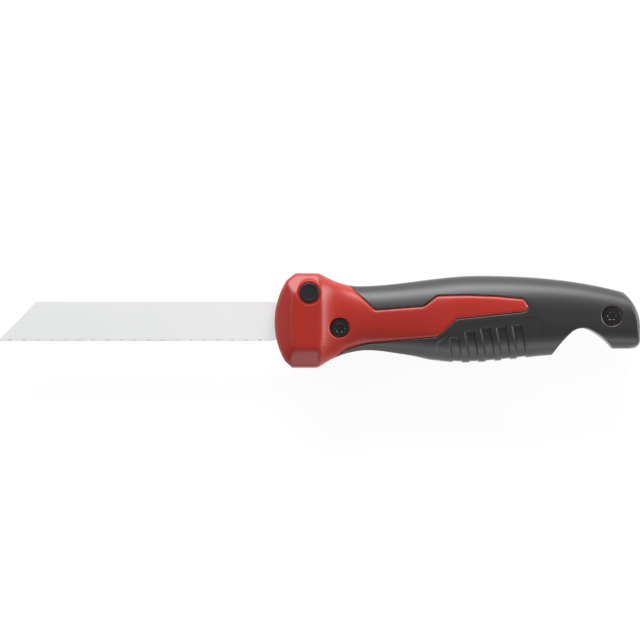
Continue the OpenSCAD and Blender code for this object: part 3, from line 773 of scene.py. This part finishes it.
# %% [markdown]
# ## The skin as one sheet
#
# A Delaunay triangulation takes all those lines as edges that it must keep, with a plain grid of
# points between them. It gives even triangles, and every line stays crisp. The alternative, a very
# fine grid with displacement, would need millions of faces for the same edges.

# %% Lines that the sheet keeps
line_step, fine_step, grid_step, clear_of_lines = 0.5, 0.02, 0.68, 0.42
rim_insets = (0, 0.05, 0.16, 0.36, 0.66, 1.06, 1.6, 2.0)
seam_insets = (0, 0.04, 0.1, 0.2, 0.5)
opening_insets, opening_corner_points = (0, 0.04, 0.1, 0.2, 0.4), 9


def runs_on_skin(path):
    """The stretches of a closed side-view path on the handle, each with one point past the edge."""
    middle, half, _, _ = frame_at(path[:, 0])
    on_skin = (np.abs(path[:, 1] - middle) < half) & (path[:, 0] > band_front - nose_length)
    if on_skin.all():
        return [pattern_of(path)]
    first_off = int(np.argmin(on_skin))
    path = np.roll(path[:-1], -first_off, 0)
    on_skin = np.append(np.roll(on_skin[:-1], -first_off), False)
    path = np.vstack([path, path[:1]])
    turns = np.flatnonzero(np.diff(on_skin.astype(int)))
    return [pattern_of(path[start : stop + 2]) for start, stop in zip(turns[::2], turns[1::2])]


def lines_beside(outline, distances):
    """Lines of the pattern that run beside an outline of the side view."""
    runs = []
    for distance in distances:
        runs += runs_on_skin(beside(outline, distance, fine_step))
    return [evenly(run, line_step) for run in runs]


def depth_row(places, depth):
    """Points of the underside at a distance from the parting plane."""
    _, _, side, roundness = frame_at(places)
    angle = math.pi - np.arcsin(np.clip(depth / side, 0, 1) ** (roundness / 2))
    reach = sample(table_reach, row_of(places), angle / math.pi * (len(table_angles) - 1))
    return np.stack([places, reach], axis=1)


def rim_lines():
    """The border of the half, with lines beside the rounded rims of the nose and of the tail."""
    places = np.arange(band_front - nose_length, last_x, line_step)
    up, down = edge_reach(places)
    rows = [np.stack([places, up - edge_trim - inset], axis=1) for inset in seam_insets]
    rows.append(np.stack([places, edge_trim - down], axis=1))
    return rows + lines_beside(ends, [-inset for inset in rim_insets])


def opening_lines():
    """Rows beside the edges of the bay and of the slot."""
    lines = []
    for beyond in opening_insets:
        lines.append(depth_row(np.arange(band_front, bay_end + beyond, line_step), bay_half + beyond))
        lines.append(depth_row(np.arange(bay_end + beyond, last_x, line_step), slot_half + beyond))
        corner = np.full(opening_corner_points, bay_end + beyond)
        lines.append(depth_row(corner, np.linspace(slot_half, bay_half + beyond, len(corner))))
    return lines


print("rim:", [len(line) for line in rim_lines()], "opening rows:", len(opening_lines()))

# %% [markdown]
# A staggered grid of points goes between the lines, so that the triangles come out nearly equal-sided.
# A grid point close to a line would make a sliver, so a tree of the lines' points sorts those out.

# %% Triangulate the pattern
def on_half(pattern, margin=0.0):
    """Which points of the pattern lie on the half, a margin inside its border."""
    up, down = edge_reach(pattern[:, 0])
    reach = pattern[:, 1]
    across = (reach < up - edge_trim - margin) & (reach > edge_trim - down + margin)
    return across & (distance_to(ends, skin_at(pattern)[:, :2]) < -margin)


def grid_between(lines):
    """Points of a staggered grid that keep clear of the lines."""
    taken = np.vstack(lines)
    tree = KDTree(len(taken))
    for index, (x, reach) in enumerate(taken):
        tree.insert((x, reach, 0), index)
    tree.balance()
    highest = float(max(up_reach.max(), down_reach.max()))
    rows = np.arange(-highest, highest, grid_step * math.sqrt(3) / 2)
    columns = np.arange(band_front - nose_length, tail_end, grid_step)
    grid = np.array([[x + (k % 2) * grid_step / 2, y] for k, y in enumerate(rows) for x in columns])
    grid = grid[on_half(grid, clear_of_lines)]
    return np.array([point for point in grid if tree.find((*point, 0))[2] > clear_of_lines])


def triangulate(lines, grid):
    """Corners and triangles of the pattern."""
    corners, edges = [], []
    for line in lines:
        edges += [(len(corners) + k, len(corners) + k + 1) for k in range(len(line) - 1)]
        corners += [Vector(point) for point in line]
    corners += [Vector(point) for point in grid]
    points, _, faces, _, _, _ = delaunay_2d_cdt(corners, edges, [], 0, 1e-4, False)
    pattern = np.array([point[:] for point in points])
    faces = np.array(faces)
    return pattern, faces[on_half(pattern[faces].mean(axis=1))]


tongue_insets = (-1.6, -1.1, -0.7, -0.45, -0.25, -0.12, -0.04, 0, 0.04, 0.12, 0.25, 0.45)
groove_insets = (0.4, 0.25, 0.13, 0.05, 0, -0.06, -0.16, -0.27, -0.37, -0.44)
panel_insets, notch_insets = (0.05, -0.08, -0.2), (0, 0.06, 0.16, 0.34, 0.6, 1.0)
boss_reaches = (4.8, 4.86, 4.95, 5.1, 5.35, 5.55, 5.7, 5.74, 5.82, 5.95, 6.15, 6.5, 6.9, 7.4, 8.0, 8.8)


def ring_line(place, radius):
    """A closed ring of the pattern round a drilling."""
    circle = ring(place, radius)
    return pattern_of(np.vstack([circle, circle[:1]]))


feature_lines = rim_lines() + opening_lines() + lines_beside(tongue, tongue_insets)
for groove in grooves:
    feature_lines += lines_beside(groove, groove_insets)
feature_lines += lines_beside(panel, panel_insets) + lines_beside(notch, notch_insets)
feature_lines += [ring_line(bolt_place, reach) for reach in boss_reaches]
print("lines:", len(feature_lines), "with", sum(len(line) for line in feature_lines), "points")

# %% [markdown]
# ## From sheet to solid
#
# A window in the sheet, its red tongue, becomes one piece and the rest another. Each is closed into
# a solid by dropping its border straight to the parting plane. Tools for cutting are simpler solids:
# a stack of flat outlines, or a loft through sections of the handle.

# %% Solids
loft_rows, loft_columns = 60, 49


def solid(name, points, faces):
    mesh = bpy.data.meshes.new(name)
    mesh.from_pydata([tuple(point) for point in points], [], [tuple(face) for face in faces])
    made = bpy.data.objects.new(name, mesh)
    bpy.context.scene.collection.objects.link(made)
    return made


def under_sheet(name, points, faces):
    """The solid between a sheet and the parting plane."""
    used, faces = np.unique(faces, return_inverse=True)
    faces = faces.reshape(-1, 3)
    points = points[used]
    edges = {(int(a), int(b)) for face in faces for a, b in zip(face, np.roll(face, -1))}
    ahead = {a: b for a, b in edges if (b, a) not in edges}
    foot = {}
    for number, corner in enumerate(ahead):
        foot[corner] = len(points) + number
    feet = points[list(foot)] * [1, 1, 0] + [0, 0, parting]
    walls = [(b, a, foot[a], foot[b]) for a, b in ahead.items()]
    start = next(iter(ahead))
    border = [start]
    while ahead[border[-1]] != start:
        border.append(ahead[border[-1]])
    base = [foot[corner] for corner in reversed(border)]
    print(name, "sheet:", len(faces), "triangles, border", len(border), "of", len(ahead))
    return solid(name, np.vstack([points, feet]), faces.tolist() + walls + [base])


def stack(outlines, levels):
    """A solid through flat outlines at rising levels."""
    count = len(outlines[0])
    points = [(x, y, level) for outline, level in zip(outlines, levels) for x, y in outline]
    faces = [range(count)[::-1], range(len(points) - count, len(points))]
    for row in range(0, len(points) - count, count):
        around = [(row + k, row + (k + 1) % count) for k in range(count)]
        faces += [(a, b, count + b, count + a) for a, b in around]
    return solid("stack", points, faces)


def prism(outline, low, high):
    return stack([outline, outline], [low, high])


def loft(inset, start, end):
    """The left half of the handle, a distance inside its skin, between two places."""
    places = np.linspace(start, end, loft_rows)
    angles = np.linspace(0, math.pi, loft_columns)
    points = surface(places[:, None], angles[None, :], inset)
    points[..., 2] = np.maximum(points[..., 2], parting)
    width = len(angles)
    faces = [range(width)[::-1], range(len(places) * width - width, len(places) * width)]
    for a in range(0, len(places) * width - width, width):
        faces.append((a + width - 1, a, a + width, a + 2 * width - 1))
        faces += [(a + k, a + k + 1, a + width + k + 1, a + width + k) for k in range(width - 1)]
    return solid("loft", points.reshape(-1, 3), faces)


print("a loft has", loft_rows, "sections of", loft_columns, "points")

# %% [markdown]
# Solid pieces are cut and joined by Boolean modifiers, which is how the bores and the bay are made. A
# tool has to reach past the face that it opens: two faces in one plane would leave a film.

# %% Cutting
below = -1


def deepened(piece):
    """Lowers the base of a tool, so that it cuts right through the parting plane."""
    for corner in piece.data.vertices:
        if corner.co.z < 2 * parting:
            corner.co.z = below
    return piece


def carve(piece, operation, tools):
    """Joins tools to a solid, or cuts them out of it."""
    for tool in tools:
        step = piece.modifiers.new("carve", "BOOLEAN")
        step.operation = operation
        step.solver = "MANIFOLD"
        step.object = tool
    shaped = bpy.data.meshes.new_from_object(piece.evaluated_get(bpy.context.evaluated_depsgraph_get()))
    piece.modifiers.clear()
    piece.data = shaped
    return piece


def discard(tools):
    for tool in tools:
        bpy.data.objects.remove(tool)


print("solids are cut with the manifold solver")

# %% [markdown]
# Where walls only touch, a cut can leave chips and doubled faces. Each mesh is welded and cleared of
# those at the end. Metal edges are eased by a bevel, since no real edge is a perfect line.

# %% Cleaning and easing
weld = 0.001


def islands_of(faces):
    """Sets of faces that hang together by their edges, the largest one last."""
    left, islands = set(faces), []
    while left:
        front, island = [left.pop()], []
        while front:
            island.append(front.pop())
            nearby = {face for edge in island[-1].edges for face in edge.link_faces} & left
            left -= nearby
            front += nearby
        islands.append(island)
    return sorted(islands, key=len)


def drop_chips(mesh):
    """Welds a mesh, and removes the chips and doubled faces that cuts leave where walls touch."""
    work = bmesh.new()
    work.from_mesh(mesh)
    bmesh.ops.remove_doubles(work, verts=work.verts, dist=weld)
    bmesh.ops.dissolve_degenerate(work, edges=work.edges, dist=weld)
    twins = Counter(frozenset(face.verts) for face in work.faces)
    doubled = [face for face in work.faces if twins[frozenset(face.verts)] > 1]
    bmesh.ops.delete(work, geom=doubled, context="FACES")
    chips = [face for island in islands_of(work.faces)[:-1] for face in island]
    bmesh.ops.delete(work, geom=chips, context="FACES")
    work.to_mesh(mesh)
    work.free()


def ease_edges(piece, width, degrees):
    """Rounds the sharp edges of a piece a little."""
    work = bmesh.new()
    work.from_mesh(piece.data)
    sharp = [edge for edge in work.edges if edge.calc_face_angle(0) > math.radians(degrees)]
    bmesh.ops.bevel(
        work, geom=sharp, offset=width, offset_type="OFFSET", segments=3, profile=0.5,
        affect="EDGES", clamp_overlap=True,
    )
    work.to_mesh(piece.data)
    work.free()


print("points closer than", weld, "mm are welded")

# %% [markdown]
# The spaces inside are those of the engineering model: the bay in which the holder swings, the slot
# for the folded blade, the bores of the pivot, stop pin, lock and screws, and hollow bays in the grip.

# %% Spaces inside the handle
pivot_place = np.array([0.0, 0.0])
high, overlap = 60.0, 1
front_roof, rear_roof, holder_reach, land_radius, land_face = 13.3, 12.2, 13.45, 8.75, 4
lobe_reach, lobe_half, lobe_end, lobe_roof = 28.88, 1.9, -7.6, 23.4
fold_end, slot_tip, slot_heel, slot_teeth, slot_back = math.radians(177.5), -221.8, -26, -7.3, 112
stop_reach, stop_turn, stop_bore, stop_top = 10.95, math.radians(95), 1.52, 7.6
bolt_bore, bolt_floor, bolt_top, button_floor = 4.2, 0.9, 7.7, 6.7
barrel_bore, pivot_seat, tail_bore, insert_bore, insert_top = 4.02, 6.4, 2.1, 3.02, 8.1
hollow_wall, hollow_length, hollow_starts = 4.8, 15, (36.6, 57.6, 78.6)
dowel_places, dowel_bore, dowel_top = [(54.6, 13), (75.6, 13)], 1.5, 5.1


def bar(place, radius, low, top=high, count=72):
    return prism(ring(np.array(place), radius, count), low, top)


def rectangle(left, right, low, top):
    return np.array([[left, low], [right, low], [right, top], [left, top]])


def bay():
    """Where the holder swings, with round lands that carry it at the pivot."""
    tool = prism(rectangle(-far, 0, -far, front_roof), below, bay_half)
    rear_room = prism(rectangle(-overlap, bay_end, -far, rear_roof), below, bay_half)
    parts = [rear_room, bar(pivot_place, holder_reach, below, bay_half)]
    carve(tool, "UNION", parts)
    land = bar(pivot_place, land_radius, land_face, bay_half + overlap)
    carve(tool, "DIFFERENCE", [land])
    lobe = bar(pivot_place, lobe_reach, below, lobe_half, 144)
    lobe_room = prism(rectangle(-far, lobe_end, 0, lobe_roof), 2 * below, high)
    carve(lobe, "INTERSECT", [lobe_room])
    carve(tool, "UNION", [lobe])
    discard(parts + [land, lobe, lobe_room])
    return tool


def slot():
    """Where the folded blade lies."""
    corners = rectangle(slot_tip, slot_heel, slot_teeth, slot_back)
    cosine, sine = math.cos(fold_end), math.sin(fold_end)
    return prism(corners @ np.array([[cosine, sine], [-sine, cosine]]), below, slot_half)


def bores(side):
    """The drillings of one half. The tail screw goes in on the left, and its insert sits on the right."""
    stop_place = stop_reach * np.array([math.cos(stop_turn), math.sin(stop_turn)])
    tools = [
        bar(bolt_place, bolt_bore, bolt_floor, bolt_top), bar(bolt_place, button_bore, button_floor),
        bar(pivot_place, barrel_bore, below), bar(pivot_place, pivot_recess, pivot_seat),
        bar(stop_place, stop_bore, below, stop_top),
    ]
    if side == "left":
        head_room = bar(tail_screw_place, tail_recess, tail_seat)
        return tools + [bar(tail_screw_place, tail_bore, below), head_room]
    return tools + [bar(tail_screw_place, insert_bore, below, insert_top)]


def hollows():
    """Rooms that save plastic in the grip, and the bores of the dowels between them."""
    rooms = [deepened(loft(hollow_wall, start, start + hollow_length)) for start in hollow_starts]
    return rooms + [bar(place, dowel_bore, below, dowel_top) for place in dowel_places]


print("bay to", bay_end, "mm behind the pivot")

# %% [markdown]
# ## The two halves
#
# The right half is drawn like the left one and then mirrored, with its faces turned back outwards.

# %% Shells and grips
usual_crease = 38
pivot_edge, tail_edge, recess_shares = 0.5, 0.6, (0, 0.12, 0.3, 0.6, 1)


def smooth_shading(piece, degrees):
    """Smooth shading that stops at edges sharper than an angle."""
    piece.data.shade_smooth()
    piece.data.set_sharp_from_angle(angle=math.radians(degrees))


def settle(piece, name, mirrored, finish, body, crease=usual_crease):
    """Brings a piece from millimetres at the pivot to the frame, and dresses it."""
    mesh = piece.data
    drop_chips(mesh)
    mesh.transform(to_frame @ Matrix.Diagonal((1, 1, -1 if mirrored else 1, 1)))
    if mirrored:
        mesh.flip_normals()
    piece.name = name
    mesh.name = name
    mesh.materials.clear()
    mesh.materials.append(finish.material)
    smooth_shading(piece, crease)
    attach(piece, body)
    print(name, len(mesh.polygons), "faces")
    return piece


def make_half(side):
    """The red shell and the black grip of one half."""
    recesses = [(pivot_place, pivot_recess, pivot_edge)]
    if side == "left":
        recesses.append((tail_screw_place, tail_recess, tail_edge))
    lines = list(feature_lines)
    for place, radius, edge in recesses:
        lines += [ring_line(place, radius + share * edge) for share in recess_shares]
    pattern, faces = triangulate(lines, grid_between(lines))
    middle = skin_at(pattern[faces].mean(axis=1))[:, :2]
    seam = distance_to(tongue, middle)
    in_notch = distance_to(notch, middle) < 0
    red_faces, black_faces = faces[seam < 0], faces[(seam > 0) & ~in_notch]
    shell = under_sheet(side + "_red", shaped_skin(pattern, recesses, True), red_faces)
    grip = under_sheet(side + "_black", shaped_skin(pattern, recesses, False), black_faces)
    core = loft(rubber_wall, core_start, tail_end)
    end_room = prism(ends_outline(rubber_wall), below, high)
    carve(core, "INTERSECT", [end_room])
    notch_room = prism(notch_outline(rubber_wall), below, high)
    lining = bar(tail_screw_place, tail_recess + lining_wall, tail_seat)
    carve(core, "DIFFERENCE", [notch_room, lining] if side == "left" else [notch_room])
    spaces = [bay(), slot()]
    drillings = bores(side)
    holes = hollows()
    carve(shell, "UNION", [core])
    carve(shell, "DIFFERENCE", spaces + drillings + holes)
    carve(grip, "DIFFERENCE", [deepened(core)] + spaces + drillings)
    discard([core, end_room, notch_room, lining] + spaces + drillings + holes)
    mirrored = side == "right"
    settle(shell, side + "_shell_skin", mirrored, red_plastic, "handle")
    settle(grip, side + "_grip_skin", mirrored, black_rubber, "handle")
    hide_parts(side + "_shell")
    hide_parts(side + "_grip")


for side in ("left", "right"):
    make_half(side)

# %% [markdown]
# ## Turned pieces
#
# Screws, buttons and the pivot barrel are turned on a lathe, and a lathe is easy to imitate: a
# profile is swept round an axis. The profile runs from the axis at the bottom to the axis at the top,
# as radius, height and the rounding of each corner.

# %% Lathe
ease_steps, ease_limit = 6, 0.48


def eased_profile(corners):
    """The profile with its corners rounded."""
    points = [corners[0][:2]]
    for before, corner, after in zip(corners, corners[1:], corners[2:]):
        middle = np.array(corner[:2], float)
        ways = [np.array(end[:2], float) - middle for end in (before, after)]
        cuts = [way * min(corner[2] / np.linalg.norm(way), ease_limit) for way in ways]
        steps = np.linspace(0, 1, ease_steps if corner[2] else 1)
        points += [middle + cuts[0] * (1 - t) ** 2 + cuts[1] * t**2 for t in steps]
    return points + [corners[-1][:2]]


def turned(name, profile, place, count=96):
    """A solid of revolution round a place of the side view."""
    points, rows, faces = [], [], []
    for radius, height in profile:
        on_axis = radius == 0
        rows.append([len(points) + (0 if on_axis else k) for k in range(count)])
        circle = ring(place, radius, count)
        points += [(x, y, height) for x, y in (circle[:1] if on_axis else circle)]
    for low, top in zip(rows, rows[1:]):
        for k in range(count):
            corners = (low[k], low[(k + 1) % count], top[(k + 1) % count], top[k])
            faces.append(tuple(dict.fromkeys(corners)))
    return solid(name, points, faces)


print("a rounded corner has", ease_steps, "points")

# %% [markdown]
# A drive is cut into a head as a six-lobed solid. Its mouth is a little wider than the rest, so that
# the edge catches the light as a worn one does.

# %% Drives
lobe_share, mouth_width, mouth_depth = 0.14, 0.42, 0.28


def six_lobes(place, size):
    """The outline of a six-lobed drive."""
    turns = np.linspace(0, 2 * math.pi, 96, endpoint=False)
    reach = size / 2 * (1 - lobe_share + lobe_share * np.cos(6 * turns))
    return arc(place, reach[:, None], turns)


def with_drive(piece, place, size, mouth, floor):
    """Sinks a six-lobed drive with a wide mouth into a head."""
    out = 1 if mouth > floor else -1
    wide = size + 4 * mouth_width
    stages = [(size, floor), (size, mouth - out * mouth_depth), (wide, mouth + out * mouth_depth)][::out]
    drive = stack([six_lobes(place, width) for width, _ in stages], [level for _, level in stages])
    carve(piece, "DIFFERENCE", [drive])
    discard([drive])
    return piece


def fit(piece, node, finish, body):
    """Dresses a finished piece, and hides the node that it stands for."""
    settle(piece, node + "_turned", False, finish, body)
    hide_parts(node)


print("a drive of 4 mm reaches", np.abs(six_lobes(np.zeros(2), 4)).max().round(2), "mm")

# %% [markdown]
# The heads have a rounded rim, a slight crown and a six-lobed drive. The shanks are left plain, since
# none shows once the saw is closed, and plain rings round them would be no real thread.

# %% Screws and barrel
drive_depth, crown = 1.5, 0.12
pivot_drive, barrel_face = 4.2, -8.9


def screw(node, place, low, seat, top, shank, head, drive):
    """A black screw of the handle, between two levels."""
    profile = [
        (0, low), (shank, low, 0.5), (shank, seat, 0), (head, seat, 0.12), (head, top - crown, 0.55),
        (0.6 * head, top, 1.2), (0, top),
    ]
    piece = turned(node, eased_profile(profile), place)
    with_drive(piece, place, drive, top, top - drive_depth)
    fit(piece, node, black_steel, "handle")


screw("pivot_screw", pivot_place, -3, pivot_seat, 8.9, shank=2.48, head=4.65, drive=pivot_drive)
screw("tail_screw", tail_screw_place, -7, tail_seat, 11.1, shank=1.98, head=4.6, drive=3.7)
barrel_profile = [
    (0, barrel_face), (2.8, barrel_face, 1.2), (4.65, barrel_face + crown, 0.55), (4.65, -pivot_seat, 0.12),
    (4, -pivot_seat, 0), (4, 6.3, 0.3), (2.5, 6.3, 0.3), (2.5, -4, 0), (0, -4),
]
barrel = turned("pivot_barrel", eased_profile(barrel_profile), pivot_place)
with_drive(barrel, pivot_place, pivot_drive, barrel_face, barrel_face + drive_depth)
fit(barrel, "pivot_barrel", steel, "handle")

# %% [markdown]
# The clamp screw is captive: a neck near its point holds the small clip.

# %% Clamp screw
def levels_of(node):
    """The lowest and the highest level of a node, from the middle of the blade."""
    return [corner[2] for corner in span_of(node)]


neck_gap, neck_radius = 0.02, 1.55
clamp_point, clamp_seat, clamp_face, clamp_shank, clamp_head = -3.1, 1.6, 3.2, 2, 3.6
clip_low, clip_top = levels_of("screw_clip")
neck_low, neck_top = clip_low - neck_gap, clip_top + neck_gap
clamp_profile = [
    (0, clamp_point), (clamp_shank, clamp_point, 0.3), (clamp_shank, neck_low, 0),
    (neck_radius, neck_low, 0), (neck_radius, neck_top, 0), (clamp_shank, neck_top, 0),
    (clamp_shank, clamp_seat, 0),
    (clamp_head, clamp_seat, 0.1), (clamp_head, clamp_face, 0.4), (0, clamp_face),
]
clamp_screw = turned("clamp_screw", eased_profile(clamp_profile), clamp_screw_place)
with_drive(clamp_screw, clamp_screw_place, 2.8, clamp_face, 2.1)
fit(clamp_screw, "clamp_screw", black_steel, "clamp_fastener")

# %% [markdown]
# The lock buttons are black caps with a rounded rim and a dished face for the thumb. Each has a bore
# for the bolt's spigot and a groove for its rubber ring.

# %% Buttons
button_radius, spigot_bore, spigot_depth, ring_middle, ring_bed = 4.7, 2.02, 2.8, 4.15, 0.62
dish_rim, dish_foot, dish_step, dish_depth = 3.7, 2.9, 0.28, 0.34


def button(node, inner, outer, side):
    """One button, drawn on the left side of the head and mirrored for the right one."""
    middle = (inner + outer) / 2
    open_turn = math.acos((button_radius - ring_middle) / ring_bed)
    turns = np.linspace(-open_turn, open_turn - 2 * math.pi, 17)
    bed = [(ring_middle + ring_bed * math.cos(t), middle + ring_bed * math.sin(t), 0) for t in turns]
    spigot_end = inner + spigot_depth
    profile = [(0, spigot_end), (spigot_bore, spigot_end, 0), (spigot_bore, inner, 0.25)]
    profile += [(button_radius, inner, 0.4)] + bed
    profile += [(button_radius, outer, 0.75), (dish_rim, outer, 0.5)]
    profile += [(dish_foot, outer - dish_step, 0.8), (0, outer - dish_depth)]
    piece = turned(node, eased_profile(profile), bolt_place)
    settle(piece, node + "_turned", side == "right", black_plastic, "lock")
    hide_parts(node)


left_low, left_high = levels_of("left_button")
right_low, right_high = levels_of("right_button")
button("left_button", left_low, left_high, "left")
button("right_button", -right_high, -right_low, "right")

# %% [markdown]
# ## The blade
#
# A reciprocating-saw blade is a punched strip. Its outline is a prism with a hole, and a fine wavy set
# bends the teeth to either side in turn, so that the cut is wider than the strip. The strip is split
# just above the teeth, because only the teeth may bend. Its shading stops at slight edges too: if it
# ran on over the eased edges, the long flats would look hollow.

# %% Blade
tip_x, shoulder_x, tang_end, tang_corner = -161.8, -27.8, -9.4, 2.0
blade_back, tooth_line, tooth_depth, tooth_pitch = 12.5, -6.5, 0.7, 1.41
tang_top, tang_bottom, shoulder_run = 9.35, -3.35, 3.0
tip_rise, tip_angle = tooth_line + 1, math.radians(46)
blade_half, hole_place, hole_radius = 0.45, np.array([-15.9, 3.0]), 2.1
set_width, split_rise, tooth_lean, tip_margin = 0.2, 0.2, 0.3, 0.01
blade_ease, blade_corner, blade_crease = 0.05, 50, 10
gullet_line = tooth_line + tooth_depth
split_line = gullet_line + split_rise


def blade_outline():
    """The strip with its tang, its slanted tip and its teeth."""
    tip_run = (blade_back - tip_rise) / math.tan(tip_angle)
    points = [
        (tip_x, gullet_line), (tip_x, tip_rise), (tip_x + tip_run, blade_back),
        (shoulder_x - shoulder_run, blade_back), (shoulder_x, tang_top), (tang_end - tang_corner, tang_top),
        (tang_end, tang_top - tang_corner), (tang_end, tang_bottom + tang_corner),
        (tang_end - tang_corner, tang_bottom), (shoulder_x, tang_bottom),
        (shoulder_x - shoulder_run, gullet_line),
    ]
    for k in reversed(range(int((shoulder_x - shoulder_run - tip_x) / tooth_pitch))):
        x = tip_x + k * tooth_pitch
        points += [(x + tooth_pitch, gullet_line), (x + tooth_lean * tooth_pitch, tooth_line)]
    return np.array(points[::-1])


def set_teeth(mesh):
    """Splits the strip above its teeth and bends the tooth tips in a wave."""
    work = bmesh.new()
    work.from_mesh(mesh)
    everything = work.verts[:] + work.edges[:] + work.faces[:]
    bmesh.ops.bisect_plane(work, geom=everything, plane_co=(0, split_line, 0), plane_no=(0, 1, 0))
    low = [face for face in work.faces if face.calc_center_median().y < split_line]
    bmesh.ops.triangulate(work, faces=low)
    for corner in work.verts:
        if corner.co.y < gullet_line - tip_margin:
            corner.co.z += set_width * math.sin(2 * math.pi * corner.co.x / tooth_wave)
    work.to_mesh(mesh)
    work.free()


blade_strip = prism(blade_outline(), -blade_half, blade_half)
tang_hole = bar(hole_place, hole_radius, -high, high)
carve(blade_strip, "DIFFERENCE", [tang_hole])
discard([tang_hole])
set_teeth(blade_strip.data)
ease_edges(blade_strip, blade_ease, blade_corner)
settle(blade_strip, "blade_strip", False, blade_enamel, "blade_holder", blade_crease)
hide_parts("blade")

# %% [markdown]
# ## Milled pieces
#
# The holder, its clamp plate and the lock bolt already have their real shape in the engineering
# model, but with edges like razors. A copy of each mesh is welded, its flat faces are joined again,
# and every sharp edge gets a small round, as a file would leave it.

# %% Milled pieces
mill_weld, flat_angle, mill_corner = 1e-7, math.radians(0.5), 40
milled = {
    "blade_carrier": (0.2, "blade_holder"),
    "clamp_plate": (0.15, "blade_clamp"),
    "lock_bolt": (0.12, "lock"),
    "stop_pin": (0.15, "handle"),
    "locating_pins": (0.15, "handle"),
    "tang_pin": (0.12, "blade_holder"),
}


def mill(node, width, body):
    """A copy of a node with its sharp edges eased by a width in millimetres."""
    mesh = frame["nodes"][node].data.copy()
    piece = bpy.data.objects.new(node + "_milled", mesh)
    bpy.context.scene.collection.objects.link(piece)
    work = bmesh.new()
    work.from_mesh(mesh)
    bmesh.ops.remove_doubles(work, verts=work.verts, dist=mill_weld)
    bmesh.ops.dissolve_limit(work, angle_limit=flat_angle, verts=work.verts, edges=work.edges)
    work.to_mesh(mesh)
    work.free()
    ease_edges(piece, width * MM, mill_corner)
    mesh.materials.clear()
    mesh.materials.append(steel.material)
    smooth_shading(piece, usual_crease)
    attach(piece, body)
    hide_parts(node)
    print(piece.name, len(mesh.polygons), "faces")


for node, (width, body) in milled.items():
    mill(node, width, body)

# %% [markdown]
# ## Small pieces
#
# Washers, rings, the bush and the insert sit inside the head and hardly show. Their own meshes are fine
# enough, so each of them only gets its finish.

# %% Finishes of the small pieces
small_pieces = {
    "wave_washer": steel,
    "screw_clip": steel,
    "thrust_washer": white_nylon,
    "tail_insert": brass,
    "pivot_bush": bronze,
    "bolt_rings": black_rubber,
}
for name, finish in small_pieces.items():
    mesh = frame["nodes"][name].data
    mesh.materials.clear()
    mesh.materials.append(finish.material)
print("dressed", len(small_pieces), "nodes")

# %% [markdown]
# ## Studio
#
# The saw lies on a white floor and is seen straight from above. The floor glows for the camera and for
# reflections only, so it looks white without more light on the saw, and it still takes a faint shadow.

# %% Floor
floor_white, glow_strength, glow_share, floor_reach = 0.8, 1.1, 0.8, 3
floor_finish = Finish("studio_white")
floor_finish.tree.nodes.remove(floor_finish.shader)
rays = floor_finish.node("LightPath", output="Is Camera Ray")
ray_node = rays.socket.node
seen = rays
for kind in ("Is Glossy Ray", "Is Transmission Ray"):
    ray = Wire(floor_finish, ray_node.outputs[kind])
    seen = floor_finish.node("Math", {"operation": "MAXIMUM"}, {0: seen, 1: ray})
diffuse = floor_finish.node("BsdfDiffuse", {}, {"Color": (floor_white, floor_white, floor_white, 1)})
glow = floor_finish.node("Emission", {}, {"Color": (1, 1, 1, 1), "Strength": glow_strength})
floor_mix = floor_finish.node("MixShader", {}, {0: seen * glow_share, 1: diffuse, 2: glow})
floor_finish.feed(floor_finish.tree.nodes["Material Output"].inputs["Surface"], floor_mix)
floor_corners = [(x * floor_reach, y * floor_reach, 0) for x, y in ((-1, -1), (1, -1), (1, 1), (-1, 1))]
floor = solid("studio_floor", floor_corners, [(0, 1, 2, 3)])
floor.data.materials.append(floor_finish.material)
print("floor laid")

# %% [markdown]
# A large soft lamp stands beyond the back of the saw and a weaker one before its teeth. Small ones at
# the tail and at the tip show the shape of the ends. The lamp at the tail is a fill without a shadow,
# since the head would shade the blade. A dim white world keeps the darkest places open.

# %% Lamps
world_strength = 0.14
lamp_target = Vector((0, 0, 0.01))


def lamp(name, place, width, height, power, shadow=True):
    """A soft lamp that looks at the saw. One without a shadow only fills."""
    light = bpy.data.lights.new(name, "AREA")
    light.shape = "RECTANGLE"
    light.size = width
    light.size_y = height
    light.energy = power
    light.use_shadow = shadow
    made = bpy.data.objects.new(name, light)
    made.location = place
    made.rotation_euler = (lamp_target - Vector(place)).to_track_quat("-Z", "Y").to_euler()
    bpy.context.scene.collection.objects.link(made)


lamp("back_lamp", (-0.1, 1.05, 0.5), 1.2, 0.4, 19.3)
lamp("front_lamp", (0.1, -1.05, 0.45), 1.0, 0.35, 4.4)
lamp("tail_lamp", (0.7, 0.17, 0.23), 0.5, 0.22, 4.7, shadow=False)
lamp("tip_lamp", (-0.8, 0.28, 0.72), 0.6, 0.25, 1.7)
world = bpy.data.worlds.new("studio")
bpy.context.scene.world = world
world.use_nodes = True
backdrop = world.node_tree.nodes["Background"]
backdrop.inputs["Color"].default_value = (1, 1, 1, 1)
backdrop.inputs["Strength"].default_value = world_strength
bpy.context.scene.view_settings.view_transform = "Standard"
print("lamps:", len(bpy.data.lights))

# %% [markdown]
# The camera looks straight down at the side of the saw from far away, as a catalogue picture does, so
# that the near edges aren't swollen. The lens follows from the width that the picture takes in.

# %% Camera
picture_width = 0.30464
aim = Vector((0.0001, 0.0007, 0.016))
camera_height = 2.2
camera = bpy.data.cameras.new("camera")
camera.sensor_width = 36
camera.lens = camera.sensor_width * camera_height / picture_width
camera_object = bpy.data.objects.new("camera", camera)
camera_object.location = aim + Vector((0, 0, camera_height))
bpy.context.scene.collection.objects.link(camera_object)
bpy.context.scene.camera = camera_object
print("lens", round(camera.lens, 1), "mm")

# %% [markdown]
